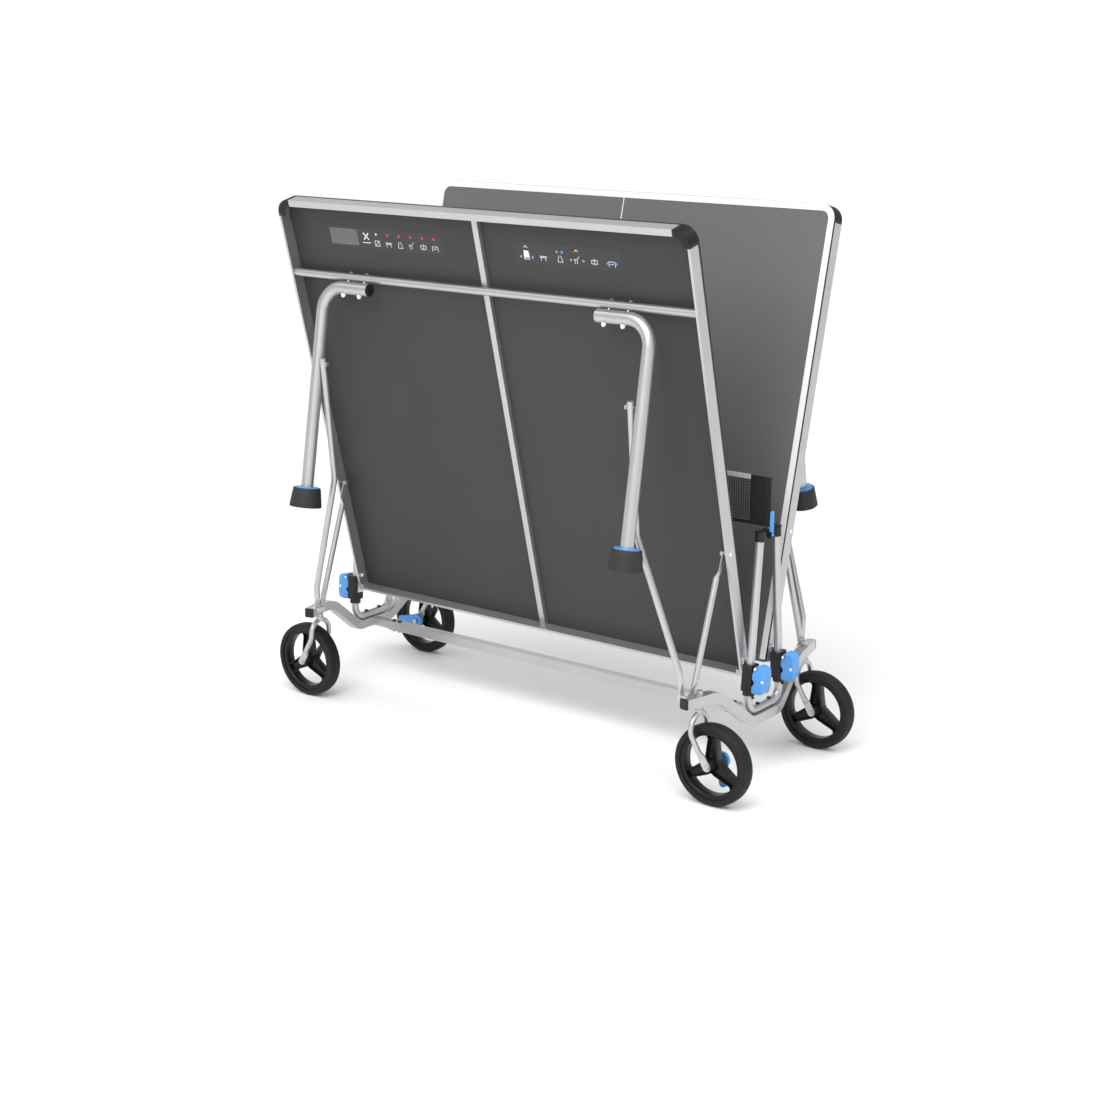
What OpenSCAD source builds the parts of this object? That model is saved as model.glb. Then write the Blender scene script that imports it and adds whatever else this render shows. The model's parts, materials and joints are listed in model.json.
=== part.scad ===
// Folding table-tennis table on a wheeled chassis, shown folded for storage.
// X runs along the net, Y across it and Z up; the origin is on the floor, midway between the four wheels.
// Each half-table rides up two leaning uprights on sliders while it tips from steep to level.
// The front half is at -Y. The rear half is its mirror image.

/* [Table halves] */
// Width of the playing surface along the net
top_w = 1525; // [1500:5:1550]
// Length of one half, from the net edge to the far edge
half_len = 1370; // [1350:5:1380]
// Thickness of the board
board_t = 4.5; // [4:0.5:5]
// Depth of the steel rim, from the playing surface to its back flange
rim_depth = 48; // [46:1:52]
// Width of the rim's back flange
flange_w = 20; // [16:1:20]
// Wall thickness of the rim
rim_wall = 2; // [1.5:0.5:2.5]
// Height of the playing surface when the table is set up
play_height = 760; // [758:1:762]
// Tilt of a folded half from vertical, in degrees
fold_tilt = 14.05; // [14:0.05:14.1]

/* [Net] */
// Height of the net above the playing surface
net_height = 152.5; // [150:0.5:155]
// Gap between the playing surface and the net's lower edge
net_gap = 5; // [4:1:8]

/* [Chassis] */
// Width of the square rail and crossbar tube
rail_w = 30; // [28:1:32]
// Wall thickness of the square tube
rail_wall = 2; // [1.5:0.5:3]
// Height of the crossbar's centre above the floor
crossbar_z = 190; // [185:1:195]
// Outer diameter of the uprights
upright_d = 25; // [24:0.5:25]

/* [Legs] */
// Outer diameter of the legs
leg_d = 39; // [36:1:40]
// Distance of each leg from the middle of the table
leg_x = 615; // [612:1:618]

/* [Casters] */
// Diameter of the wheels
wheel_d = 246; // [240:1:250]
// Width of the tyres
tyre_w = 46; // [40:1:50]

/* [Hidden] */
$fn = 64;

// How much a tube swells at a bend, and how far a straight run reaches into it
swell = 0.1;
lap = 0.4;
// Radial clearance of every pin, shaft and slider that moves
run_gap = 0.05;
// Clearance between parts that only sit in each other
seat_gap = 0.1;
// Gap on each side of an eye, a lever or a head
eye_gap = 0.4;
// Cutters: how far one starts before a face or reaches past an edge, and two lengths that pass through a tube
cut = 1;
margin = 10;
through = 60;
long_cut = 120;
// Wall of the round tubes
tube_wall = 1.5;

// Net edge of the folded playing surface: distance from the net plane and height
edge_y = -38.93;
edge_z = 335.5;
half_w = top_w / 2;
far_r = 45;
near_r = 8;

// Pivots on a half-table: distance from the net edge, and depth below the playing surface
slide_pivot_s = 44;
slide_pivot_d = 28;
arm_pivot_s = 397;
arm_pivot_d = 33;
cross_s = 1130;
cross_d = 33;
cross_r = 12;
pin_r = 5;

// Uprights: each leans inward and passes through the slider pivot
up_x = 785;
up_r = upright_d / 2;
slide_y0 = edge_y - slide_pivot_s * sin(fold_tilt) - slide_pivot_d * cos(fold_tilt);
slide_z0 = edge_z + slide_pivot_s * cos(fold_tilt) - slide_pivot_d * sin(fold_tilt);
slide_y1 = -45;
slide_z1 = play_height - slide_pivot_d;
lean = atan2(slide_y1 - slide_y0, slide_z1 - slide_z0);
foot_run_z = crossbar_z + rail_w / 2 + up_r;
up_corner_y = slide_y0 - (slide_z0 - foot_run_z) * tan(lean);
up_bend_r = 40;
up_turn = 90 + lean;
up_tangent = up_bend_r * tan(up_turn / 2);
up_top_z = 744;
stop_r = 18;
stop_h = 14.5;
cap_z0 = 729;
cap_z1 = 762;

// Sliders: length along the upright, measured from the pivot
slider_top = -6;
slider_len = 79;
slider_half_y = 23;
slider_in_x = 768.2;
slider_out_x = 803;
plate_in_x = half_w + 0.6;
lock_pin_z = -13.5;
lock_pin_x = 814;
lock_eye_z = lock_pin_z - slider_top + slider_len / 2;
lock_x = slider_out_x + 0.5;
lock_depth = 43;
lock_half_y = 19;
lock_wall = 4;
lock_pin_r = 4;
rivet_r = 6;
lug_r = 5.5;
lug_half_y = 11;
plate_r = 12;
plate_len = 60;

// Side rails: the path starts at the middle of the dip, and bows inward towards its open ends
rail_x = 788;
rail_dip = 48;
rail_step = 4;
rail_climb = 133;
rail_tail = 78;
rail_slope = 38;

// Struts on the chassis: the short arm holds the rim, the long link holds the leg set
arm_y = -308;
arm_z = 312;
arm_r = 9;
arm_x = 732;
link_y = -337;
link_z = 318;
link_r = 10;
link_x = 713;
link_top_x = 583;
eye_t = 4;

// Leg set: it turns with the cross tube
cross_y = edge_y - cross_s * sin(fold_tilt) - cross_d * cos(fold_tilt);
cross_z = edge_z + cross_s * cos(fold_tilt) - cross_d * sin(fold_tilt);
leg_r = leg_d / 2;
leg_tilt = 9.8;
leg_run_y = -364;
leg_run_z = 1393;
leg_len = 692.5;
leg_bend_r = 75;
leg_end_x = 431;
leg_bolt_x = [461, 526.5];
link_top_y = -415;
link_top_z = 1157;

// Feet
foot_h = 60;
foot_r0 = 51.5;
foot_r1 = 43;
foot_depth = 44;
foot_lip = 4;
ring_rise = 4;
ring_sunk = 5;

// Casters: distances are from the stem, and the axle trails outward
stem_x = 750;
stem_y = -295;
stem_r = 6;
socket_z0 = 281;
socket_z1 = 326;
socket_r = 11;
stem_nut_h = 9;
crown_r = 13;
fork_r = 8;
fork_y = 41;
fork_top = 268;
fork_knee_z = 213;
knee_r = 40;
tip_r = 12;
tip_t = 5;
tip_in = 4;
tip_y = fork_y - tip_in;
tip_start = 16;
tip_len = 48;
hub_r = 17;
hub_len = 62;
rim_half = tyre_w / 2 - 5;
wheel_r = wheel_d / 2;
axle = [52.4, wheel_r];
axle_r = 5;
tyre_in_r = wheel_r - 20;
rim_in_r = wheel_r - 31;
brake_r = 25;
brake_t = 13;

// Pins and bolts of the struts; the spacers end inside the rails
spacer_r = 8;
spacer_end = 738.1;
spacer_step = 2;
rail_cut_x = 700;
strut_cut_x0 = 500;
strut_cut_x1 = 800;
pin_head = 6;
pin_head_r = 9;
strut_bolt_r = 4;
strut_head_r = 7;

// Shapes of the struts: their flattened ends, eyes and bends
flat_len = 45;
swage_len = 18;
arm_top_len = 70;
link_bend_r = 60;
link_over = 12;
arm_eye_x = 728;
link_eye_x = 717;
arm_top_x = 739.8;
arm_top_r = 7;
arm_top_y = edge_y - arm_pivot_s * sin(fold_tilt) - arm_pivot_d * cos(fold_tilt);
arm_top_z = edge_z + arm_pivot_s * cos(fold_tilt) - arm_pivot_d * sin(fold_tilt);
arm_len = norm([arm_top_y - arm_y, arm_top_z - arm_z]);
link_len = norm([link_top_y - link_y, link_top_z - link_z]);
link_low = 75;
link_high = 471;
link_bend = atan2(link_x - link_top_x, link_high - link_low);
link_tan = link_bend_r * tan(link_bend / 2);
link_slant = norm([link_x - link_top_x, link_high - link_low]);
leg_gap = norm([leg_run_y - cross_y, leg_run_z - cross_z]);

// Fasteners
bolt_r = 3.5;
bolt_head_r = 7.5;
bolt_head_h = 4;
nut_r = 7;
nut_h = 6;
up_bolt_y = -32;

// Plugs in the rails' ends
plug_head = 5;
plug_depth = 18;
plug_gap = 0.5;

// Crossbar and its sleeves
crossbar_half = 700;
sleeve_r = 12.8;
sleeve_in_x = 640;
sleeve_bolt_x = [660, 685];

// Post caps, posts, levers and knobs
cap_in_x = 768.8;
cap_out_x = 803;
cap_half_y = 62;
post_r = 4;
post_z0 = 735;
post_drop = 4;
cap_bore = 16;
net_half = 722;
net_t = 1.6;
net_z0 = play_height + net_gap;
net_z1 = play_height + net_height;
sleeve_post_r = 6.5;
sleeve_t = 3;
lever_x = 797;
lever_z = 742;
lever_half_y = 7;
lever_r = 5;
lever_t = 7;
lever_len = 62;
lever_pin_r = 2.5;
lever_pin_half = 16;
knob_z = 776;
knob_r = 8;
knob_pin_r = 2.5;
knob_y0 = 9;
knob_y1 = 19;

// Rim details
cross_half = 757;
cross_pin_r = 6;
cross_pin_over = 1.5;
cross_plug = 12;
corner_cap_len = 52;
cap_t = 3.5;
rib_pitch = 7;
rib_t = 2.5;
rib_h = 0.8;
beam_half = 10;
beam_depth = 14;

steel = [0.72, 0.72, 0.73];
black = [0.08, 0.08, 0.09];
blue = [0.22, 0.5, 0.83];
slate = [0.33, 0.34, 0.35];

// ---- Placement -------------------------------------------------------------

module left() mirror([1, 0, 0]) children();
module rear() mirror([0, 1, 0]) children();

module both_sides() {
    children();
    left() children();
}

module all_corners() {
    both_sides() children();
    rear() both_sides() children();
}

// Panel frame: X as the table's, Y from the net edge to the far edge, Z down from the playing surface
module on_panel() translate([0, edge_y, edge_z]) rotate([90 + fold_tilt, 0, 0]) children();

// Upright frame: the origin at the slider pivot, Z up along the right-hand front upright
module on_upright() translate([up_x, slide_y0, slide_z0]) rotate([-lean, 0, 0]) children();

// Leg frame: the origin on the bent end of the right-hand leg, Z down along the leg
module on_leg() translate([leg_x, leg_run_y, leg_run_z]) rotate([180 - leg_tilt, 0, 0]) children();

// Strut frame: the origin on the strut's lower pivot, Z towards its upper pivot
module on_strut(low, high)
    translate([0, low.x, low.y]) rotate([atan2(low.x - high.x, high.y - low.y), 0, 0]) children();

// ---- Tube work -------------------------------------------------------------

module section(r, is_square) {
    if (is_square) square([2 * r, 2 * r], center = true);
    else circle(r = r);
}

// Runs and bends start at the origin heading up, and their children carry on from the end.
// A bend turns towards +X. A radius of zero draws nothing and only moves the children.
// A bent tube swells a little at its bends, and the straight runs reach into them.
module run(len, r, is_square = false) {
    if (r > 0) translate([0, 0, -lap]) linear_extrude(len + 2 * lap) section(r, is_square);
    translate([0, 0, len]) children();
}

module bend(angle, radius, r, is_square = false) {
    translate([radius, 0, 0]) {
        if (r > 0) rotate([90, 0, 0]) rotate([0, 0, 180 - angle])
            rotate_extrude(angle = angle) translate([radius, 0]) section(r + swell, is_square);
        rotate([0, angle, 0]) translate([-radius, 0, 0]) children();
    }
}

// A straight run along Y that is centred on the origin
module mid_run(len, r, is_square = false) translate([0, -len / 2, 0]) rotate([-90, 0, 0]) run(len, r, is_square);

module roll(angle) rotate([0, 0, angle]) children();

// How far a bend's curve starts before its corner
function tangent(angle, radius) = radius * tan(angle / 2);

// Cylinders along X and along Y between two places
module x_pin(x0, x1, r) translate([x0, 0, 0]) rotate([0, 90, 0]) cylinder(r = r, h = x1 - x0);
module y_pin(y0, y1, r) translate([0, y0, 0]) rotate([-90, 0, 0]) cylinder(r = r, h = y1 - y0);

// A rectangle from low to high with round corners
module round_rect(low, high, r) {
    translate([low.x + r, low.y]) square([high.x - low.x - 2 * r, high.y - low.y]);
    translate([low.x, low.y + r]) square([high.x - low.x, high.y - low.y - 2 * r]);
    for (x = [low.x + r, high.x - r], y = [low.y + r, high.y - r]) translate([x, y]) circle(r = r);
}

// ---- Chassis ---------------------------------------------------------------

// The front end of the right-hand rail at half-width r; children sit at its open end
module rail_path(r)
    translate([rail_x, 0, crossbar_z]) rotate([90, 0, 0]) translate([0, 0, rail_dip])
        roll(180) bend(8, 60, r, true) run(rail_step, r, true)
        roll(-90) bend(rail_slope, 60, r, true) run(rail_climb, r, true)
        roll(180) bend(rail_slope, 110, r, true) run(rail_step, r, true)
        roll(-90) bend(5, 60, r, true) run(rail_tail, r, true) children();

module front_and_rear() {
    children();
    rear() children();
}

module rail_solid(r) {
    translate([rail_x, 0, crossbar_z]) mid_run(2 * rail_dip, r, true);
    front_and_rear() rail_path(r);
}

module rail() difference() {
    rail_solid(rail_w / 2);
    rail_solid(rail_w / 2 - rail_wall);
    front_and_rear() {
        translate([stem_x, stem_y, socket_z0 - cut]) cylinder(r = socket_r + seat_gap, h = through);
        translate([0, arm_y, arm_z]) x_pin(rail_cut_x, spacer_end, spacer_r + seat_gap);
        translate([0, link_y, link_z]) x_pin(rail_cut_x, spacer_end - spacer_step, spacer_r + seat_gap);
        translate([up_x, up_bolt_y, crossbar_z]) cylinder(r = bolt_r + seat_gap, h = rail_w);
    }
}

module left_rail() color(steel) left() rail();
module right_rail() color(steel) rail();

module rail_plugs() color(black) all_corners() difference() {
    rail_path(0) {
        translate([0, 0, 2 * lap]) linear_extrude(plug_head) round_rect(-rail_w / 2 * [1, 1], rail_w / 2 * [1, 1], 3);
        translate([0, 0, -plug_depth]) linear_extrude(plug_depth + 2 * lap)
            square(rail_w - 2 * rail_wall - 2 * plug_gap, center = true);
    }
    translate([0, link_y, link_z]) x_pin(rail_cut_x, spacer_end - spacer_step, spacer_r + seat_gap);
}

module crossbar() color(steel) translate([-crossbar_half, 0, crossbar_z]) rotate([0, 90, 0]) difference() {
    run(2 * crossbar_half, rail_w / 2, true);
    translate([0, 0, -cut]) run(2 * (crossbar_half + cut), sleeve_r + seat_gap, true);
    for (x = sleeve_bolt_x, m = [-1, 1])
        translate([0, 0, crossbar_half + m * x]) x_pin(-through / 2, through / 2, bolt_r + seat_gap);
}

// Stubs that join the crossbar to the rails
module crossbar_sleeves() color(steel) both_sides() translate([0, 0, crossbar_z]) difference() {
    translate([sleeve_in_x, 0, 0]) rotate([0, 90, 0]) difference() {
        run(rail_x - rail_w / 2 - sleeve_in_x - 2 * lap, sleeve_r, true);
        translate([0, 0, -cut]) run(rail_x - sleeve_in_x, sleeve_r - rail_wall, true);
    }
    for (x = sleeve_bolt_x) translate([x, 0, -through / 2]) cylinder(r = bolt_r + seat_gap, h = through);
}

// A bolt along Z with a round head at the top and a hexagon nut at the bottom
module bolt(z0, z1) {
    translate([0, 0, z0 - nut_h / 2]) cylinder(r = bolt_r, h = z1 - z0 + nut_h / 2 + bolt_head_h / 2);
    translate([0, 0, z1]) cylinder(r1 = bolt_head_r, r2 = bolt_head_r - 1.5, h = bolt_head_h);
    translate([0, 0, z0 - nut_h]) cylinder(r = nut_r, h = nut_h, $fn = 6);
}

module frame_bolts() color(black) {
    both_sides() translate([lever_x, 0, lever_z]) y_pin(-lever_pin_half, lever_pin_half, lever_pin_r);
    both_sides() for (x = sleeve_bolt_x)
        translate([x, 0, 0]) bolt(crossbar_z - rail_w / 2 - seat_gap, crossbar_z + rail_w / 2 + seat_gap);
    all_corners() translate([up_x, up_bolt_y, 0])
        bolt(crossbar_z + rail_w / 2 - rail_wall - seat_gap, foot_run_z + up_r + seat_gap);
}

// The front leg of a right-hand upright at radius r, from the end of its bottom run
module upright_path(r)
    translate([up_x, up_corner_y + up_tangent, foot_run_z]) rotate([90, 0, 0])
        roll(90) bend(up_turn, up_bend_r, r) run((up_top_z - foot_run_z) / cos(lean) - up_tangent, r);

module upright_solid(r) {
    translate([up_x, 0, foot_run_z]) mid_run(-2 * (up_corner_y + up_tangent), r);
    front_and_rear() upright_path(r);
}

module uprights() color(steel) both_sides() difference() {
    upright_solid(up_r);
    upright_solid(up_r - tube_wall);
    front_and_rear() translate([up_x, up_bolt_y, foot_run_z - through / 2]) cylinder(r = bolt_r + seat_gap, h = through);
}

// Rubber rings that the sliders rest on
module upright_stops() color(black) all_corners() on_upright()
    translate([0, 0, slider_top - slider_len - stop_h - 0.5]) difference() {
        cylinder(r = stop_r, h = stop_h);
        translate([0, 0, -cut]) cylinder(r = up_r + seat_gap, h = stop_h + 2 * cut);
    }

module post_caps() color(black) both_sides() difference() {
    translate([0, 0, cap_z0]) linear_extrude(cap_z1 - cap_z0)
        round_rect([cap_in_x, -cap_half_y], [cap_out_x, cap_half_y], 8);
    front_and_rear() on_upright() translate([0, 0, slide_z1 - slide_z0 + cap_bore - through])
        cylinder(r = up_r + seat_gap, h = through);
    translate([up_x, 0, post_z0]) cylinder(r = post_r + seat_gap, h = through);
    translate([lever_x - lever_r - 0.5, -lever_half_y - eye_gap, cap_z0 - cut])
        cube([through, 2 * (lever_half_y + eye_gap), through]);
    translate([lever_x, 0, lever_z]) y_pin(-lever_pin_half - seat_gap, lever_pin_half + seat_gap, lever_pin_r + seat_gap);
}

module caster_sockets() color(steel) all_corners() translate([stem_x, stem_y, socket_z0]) difference() {
    cylinder(r = socket_r, h = socket_z1 - socket_z0);
    translate([0, 0, -cut]) cylinder(r = stem_r + run_gap, h = through);
}

// A pivot for a strut: a pin with a head at its inner end and a wide part that sets into the rail
module strut_pin(eye_x, end) {
    x_pin(eye_x - eye_t / 2 - pin_head / 2, end, pin_r);
    x_pin(eye_x - eye_t / 2 - pin_head, eye_x - eye_t / 2 - eye_gap, pin_head_r);
    x_pin(eye_x + eye_t / 2 + eye_gap, end, spacer_r);
}

module strut_pins() color(steel) all_corners() {
    translate([0, arm_y, arm_z]) strut_pin(arm_eye_x, spacer_end - seat_gap);
    translate([0, link_y, link_z]) strut_pin(link_eye_x, spacer_end - spacer_step - seat_gap);
}

// ---- Net -------------------------------------------------------------------

module net() color(black) translate([-net_half, -net_t / 2, net_z0]) cube([2 * net_half, net_t, net_z1 - net_z0]);

// Cloth pockets at the net's ends, which slip over the posts
module net_sleeves() color(black) both_sides() translate([0, 0, net_z0]) difference() {
    union() {
        translate([net_half + seat_gap, -sleeve_t / 2, 0]) cube([up_x - net_half - post_r / 2, sleeve_t, net_z1 - net_z0]);
        translate([up_x, 0, 0]) cylinder(r = sleeve_post_r, h = net_z1 - net_z0);
    }
    translate([up_x, 0, -cut]) cylinder(r = post_r + seat_gap, h = net_z1 - net_z0 - post_drop + 2 * cut);
    translate([up_x, 0, knob_z - net_z0]) y_pin(0, through, knob_pin_r + 0.7);
}

module net_posts() color(steel) both_sides() translate([up_x, 0, post_z0 + seat_gap])
    cylinder(r = post_r, h = net_z1 - post_drop - post_z0);

// A clamp lever that hinges on a pin between the cheeks of the post cap
module net_lever() translate([lever_x, 0, lever_z]) {
    difference() {
        translate([0, lever_half_y, 0]) rotate([90, 0, 0]) linear_extrude(2 * lever_half_y) {
            circle(r = lever_r);
            translate([-lever_t / 2, 0]) square([lever_t, lever_len]);
            translate([0.5, lever_len]) circle(r = 4);
            polygon([[-lever_t / 2, 50], [lever_t / 2, 50], [7.5, 70], [4, 72]]);
        }
        y_pin(-through / 2, through / 2, lever_pin_r + run_gap);
    }
}

module left_net_lever() color(blue) left() net_lever();
module right_net_lever() color(blue) net_lever();

module net_knob() translate([up_x, 0, knob_z]) {
    y_pin(post_r + eye_gap, knob_y0 + 1, knob_pin_r);
    y_pin(knob_y0, knob_y1, knob_r);
    for (a = [0:60:300]) rotate([0, a, 0]) translate([knob_r - 1, 0, 0]) y_pin(knob_y0 + 1, knob_y1 - 1, 2.5);
}

module left_net_knob() color(black) left() net_knob();
module right_net_knob() color(black) net_knob();

// ---- Half-table ------------------------------------------------------------

// Outline of a half-table, drawn in by some distance
module outline(inset = 0) difference() {
    union() {
        translate([-half_w + inset, near_r]) square([2 * (half_w - inset), half_len - near_r - far_r]);
        translate([-half_w + near_r, inset]) square([2 * (half_w - near_r), half_len - 2 * inset]);
        for (m = [-1, 1]) {
            translate([m * (half_w - near_r), near_r]) circle(r = near_r - min(inset, near_r - 1));
            translate([m * (half_w - far_r), half_len - far_r]) circle(r = far_r - inset);
        }
    }
    for (m = [0, 1]) mirror([m, 0, 0]) difference() {
        translate([half_w - far_r, half_len - far_r]) square(far_r + margin);
        translate([half_w - far_r, half_len - far_r]) circle(r = far_r - inset);
    }
}

// The strip round a far corner that its cap fills
module cap_strip(inset) for (m = [0, 1]) mirror([m, 0, 0]) intersection() {
    difference() {
        outline();
        outline(inset);
    }
    translate([half_w - corner_cap_len, half_len - corner_cap_len]) square(corner_cap_len + margin);
}

module board() color(slate) on_panel() linear_extrude(board_t) difference() {
    outline();
    cap_strip(cap_t + seat_gap);
}

module panel_rim() color(steel) on_panel() difference() {
    union() {
        translate([0, 0, board_t + seat_gap]) linear_extrude(rim_depth - board_t - seat_gap) difference() {
            outline();
            outline(rim_wall);
            cap_strip(cap_t + seat_gap);
        }
        translate([0, 0, rim_depth - rim_wall]) linear_extrude(rim_wall) difference() {
            outline();
            outline(flange_w);
            cap_strip(cap_t + seat_gap);
        }
        translate([0, 0, board_t + seat_gap]) linear_extrude(rim_depth - board_t - seat_gap) difference() {
            intersection() {
                outline(cap_t + seat_gap);
                corner_squares();
            }
            outline(cap_t + seat_gap + rim_wall);
        }
    }
    for (m = [0, 1]) mirror([m, 0, 0]) {
        translate([0, slide_pivot_s, slide_pivot_d]) x_pin(half_w - margin, half_w + margin, pin_r + run_gap);
        translate([0, cross_s, cross_d]) x_pin(half_w - margin, half_w + margin, cross_pin_r + run_gap);
    }
}

module corner_squares() for (m = [0, 1]) mirror([m, 0, 0])
    translate([half_w - corner_cap_len - 3, half_len - corner_cap_len - 3]) square(corner_cap_len + margin);

module mid_beam() color(steel) on_panel() translate([-beam_half, rim_wall + seat_gap, board_t + seat_gap])
    cube([2 * beam_half, half_len - 2 * rim_wall - 2 * seat_gap, beam_depth]);

// Ribbed bumpers on the far corners
module corner_caps() color(black) on_panel() {
    translate([0, 0, 2 * seat_gap]) linear_extrude(rim_depth - 2 * seat_gap) cap_strip(cap_t);
    for (z = [rib_pitch + 1 : rib_pitch : rim_depth - 5]) translate([0, 0, z]) linear_extrude(rib_t)
        for (m = [0, 1]) mirror([m, 0, 0]) translate([half_w - far_r, half_len - far_r]) difference() {
            intersection() {
                circle(r = far_r + rib_h);
                square(far_r + margin);
            }
            circle(r = far_r - cut);
        }
}

// ---- Sliders and their locks -----------------------------------------------

module slider() on_upright() difference() {
    union() {
        translate([0, 0, slider_top - slider_len]) linear_extrude(slider_len)
            round_rect([slider_in_x - up_x, -slider_half_y], [slider_out_x - up_x, slider_half_y], 6);
        translate([lock_pin_x - up_x, 0, lock_pin_z]) {
            y_pin(-lug_half_y, lug_half_y, lug_r);
            translate([slider_out_x - lock_pin_x - 1, -lug_half_y, -lug_r])
                cube([lock_pin_x - slider_out_x + 1, 2 * lug_half_y, lug_r - 0.5]);
        }
    }
    translate([0, 0, -long_cut]) cylinder(r = up_r + run_gap, h = 2 * long_cut);
    translate([lock_pin_x - up_x, 0, lock_pin_z]) y_pin(-through / 2, through / 2, lock_pin_r + seat_gap);
}

// The rivet that a lock handle turns on
module lock_rivet() on_upright() translate([lock_pin_x - up_x, 0, lock_pin_z]) {
    y_pin(-lock_half_y - 2, lock_half_y + 2, lock_pin_r);
    for (m = [0, 1]) mirror([0, m, 0]) y_pin(lock_half_y + 0.5, lock_half_y + 2.5, rivet_r);
}

module sliders() color(black) both_sides() {
    slider();
    lock_rivet();
}

// Plates on the sliders, with the pins that the table tips on
module pivot_plates() color(steel) both_sides() on_upright() {
    translate([plate_in_x - up_x, 0, 0]) rotate([90, 0, 90]) linear_extrude(slider_in_x - plate_in_x - seat_gap) {
        circle(r = plate_r);
        translate([-plate_r, -plate_len]) square([2 * plate_r, plate_len]);
    }
    x_pin(half_w - pin_head + 1 - up_x, slider_in_x - 1 - up_x, pin_r);
    x_pin(half_w - pin_head - up_x, half_w - rim_wall - eye_gap - up_x, 8);
}

// A hollow handle that covers the slider's outer face and lifts outward
module lock_handle() on_upright() translate([lock_x - up_x, 0, slider_top - slider_len / 2]) difference() {
    lock_solid(lock_half_y, 0);
    lock_solid(lock_half_y - lock_wall, lock_wall);
    translate([lock_pin_x - lock_x, 0, lock_eye_z]) y_pin(-through / 2, through / 2, lock_pin_r + run_gap);
}

module lock_solid(half_y, inset) translate([0, half_y, 0]) rotate([90, 0, 0]) linear_extrude(2 * half_y)
    lock_outline(inset);

module lock_outline(inset) intersection() {
    hull() {
        translate([lock_pin_x - lock_x, lock_eye_z]) circle(r = 10 - inset, $fn = 32);
        translate([lock_depth - 13, 18]) circle(r = 13 - inset, $fn = 32);
        translate([lock_depth - 14, -28]) circle(r = 14 - inset, $fn = 32);
        translate([6, -38]) circle(r = 6 - inset, $fn = 32);
        if (inset > 0) translate([-8, -30]) square([8, 66]);
    }
    translate([inset > 0 ? -2 : 0, -60]) square([60, 120]);
}

// ---- Struts ----------------------------------------------------------------

// A flat end of a tube: a round eye at the origin and a plate that swells into the tube
module flat_end(r, x, tube_x, len) {
    translate([x - eye_t / 2, 0, 0]) rotate([90, 0, 90]) linear_extrude(eye_t) {
        circle(r = r);
        translate([-r, 0]) square([2 * r, len - swage_len]);
    }
    hull() {
        translate([x - eye_t / 2, -r, len - swage_len - 0.5]) cube([eye_t, 2 * r, 0.5]);
        translate([tube_x, 0, len]) cylinder(r = r - swell, h = 0.5, $fn = 32);
    }
}

module arm() on_strut([arm_y, arm_z], [arm_top_y, arm_top_z]) {
    difference() {
        union() {
            flat_end(arm_r, arm_eye_x, arm_x, flat_len);
            translate([arm_x, 0, flat_len]) run(arm_len - flat_len - arm_top_len, arm_r);
            translate([0, 0, arm_len]) mirror([0, 0, 1]) flat_end(arm_top_r, arm_top_x, arm_x, arm_top_len);
        }
        x_pin(strut_cut_x0, strut_cut_x1, pin_r + run_gap);
        translate([0, 0, arm_len]) x_pin(strut_cut_x0, strut_cut_x1, strut_bolt_r + seat_gap);
    }
    translate([0, 0, arm_len]) {
        x_pin(arm_top_x - 8, half_w - rim_wall - 2 * eye_gap, strut_bolt_r);
        x_pin(arm_top_x - 9, arm_top_x - eye_t / 2 - seat_gap, strut_head_r);
    }
}

module arms() color(steel) both_sides() arm();

module link() on_strut([link_y, link_z], [link_top_y, link_top_z]) {
    difference() {
        union() {
            flat_end(link_r, link_eye_x, link_x, flat_len);
            translate([link_x, 0, flat_len]) run(link_low - flat_len - link_tan, link_r)
                roll(180) bend(link_bend, link_bend_r, link_r) run(link_slant - 2 * link_tan, link_r)
                roll(180) bend(link_bend, link_bend_r, link_r) run(link_len + link_over - link_high - link_tan, link_r);
        }
        x_pin(strut_cut_x0, strut_cut_x1, pin_r + run_gap);
        translate([0, 0, link_len]) x_pin(strut_cut_x0, strut_cut_x1, strut_bolt_r + seat_gap);
    }
    translate([0, 0, link_len]) {
        x_pin(link_top_x - 17, leg_x - leg_r - 2 * eye_gap, strut_bolt_r);
        x_pin(link_top_x - 17, link_top_x - link_r - seat_gap, strut_head_r);
    }
    translate([link_top_x, 0, link_len + link_over + 2 * lap]) cylinder(r = link_r, h = plug_head);
}

module links() color(steel) both_sides() link();

// ---- Leg set ---------------------------------------------------------------

module on_cross() translate([0, cross_y, cross_z]) children();

// Bolt frame: the origin on the cross tube, Z towards the leg beside it
module on_leg_bolts() for (x = leg_bolt_x) on_cross() translate([x, 0, 0])
    rotate([atan2(cross_y - leg_run_y, leg_run_z - cross_z), 0, 0]) children();

module cross_tube() color(steel) difference() {
    on_cross() {
        x_pin(-cross_half, cross_half, cross_r);
        x_pin(-half_w - cross_pin_over, half_w + cross_pin_over, cross_pin_r);
    }
    on_cross() x_pin(-cross_half + cross_plug, cross_half - cross_plug, cross_r - tube_wall);
    both_sides() on_leg_bolts() translate([0, 0, -through / 2]) cylinder(r = bolt_r + seat_gap, h = through);
}

module leg_path(r)
    translate([leg_end_x, leg_run_y, leg_run_z]) rotate([0, 90, 0]) roll(-leg_tilt)
        run(leg_x - leg_bend_r - leg_end_x, r) bend(90, leg_bend_r, r)
        run(leg_len - leg_bend_r - foot_h + foot_depth, r);

module leg() {
    difference() {
        leg_path(leg_r);
        leg_path(leg_r - tube_wall);
        on_leg_bolts() translate([0, 0, -through / 2]) cylinder(r = bolt_r + seat_gap, h = long_cut);
    }
    on_leg_bolts() mirror([0, 0, 1]) bolt(-leg_gap - leg_r - seat_gap, cross_r + seat_gap);
}

module legs() color(steel) both_sides() leg();

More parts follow.
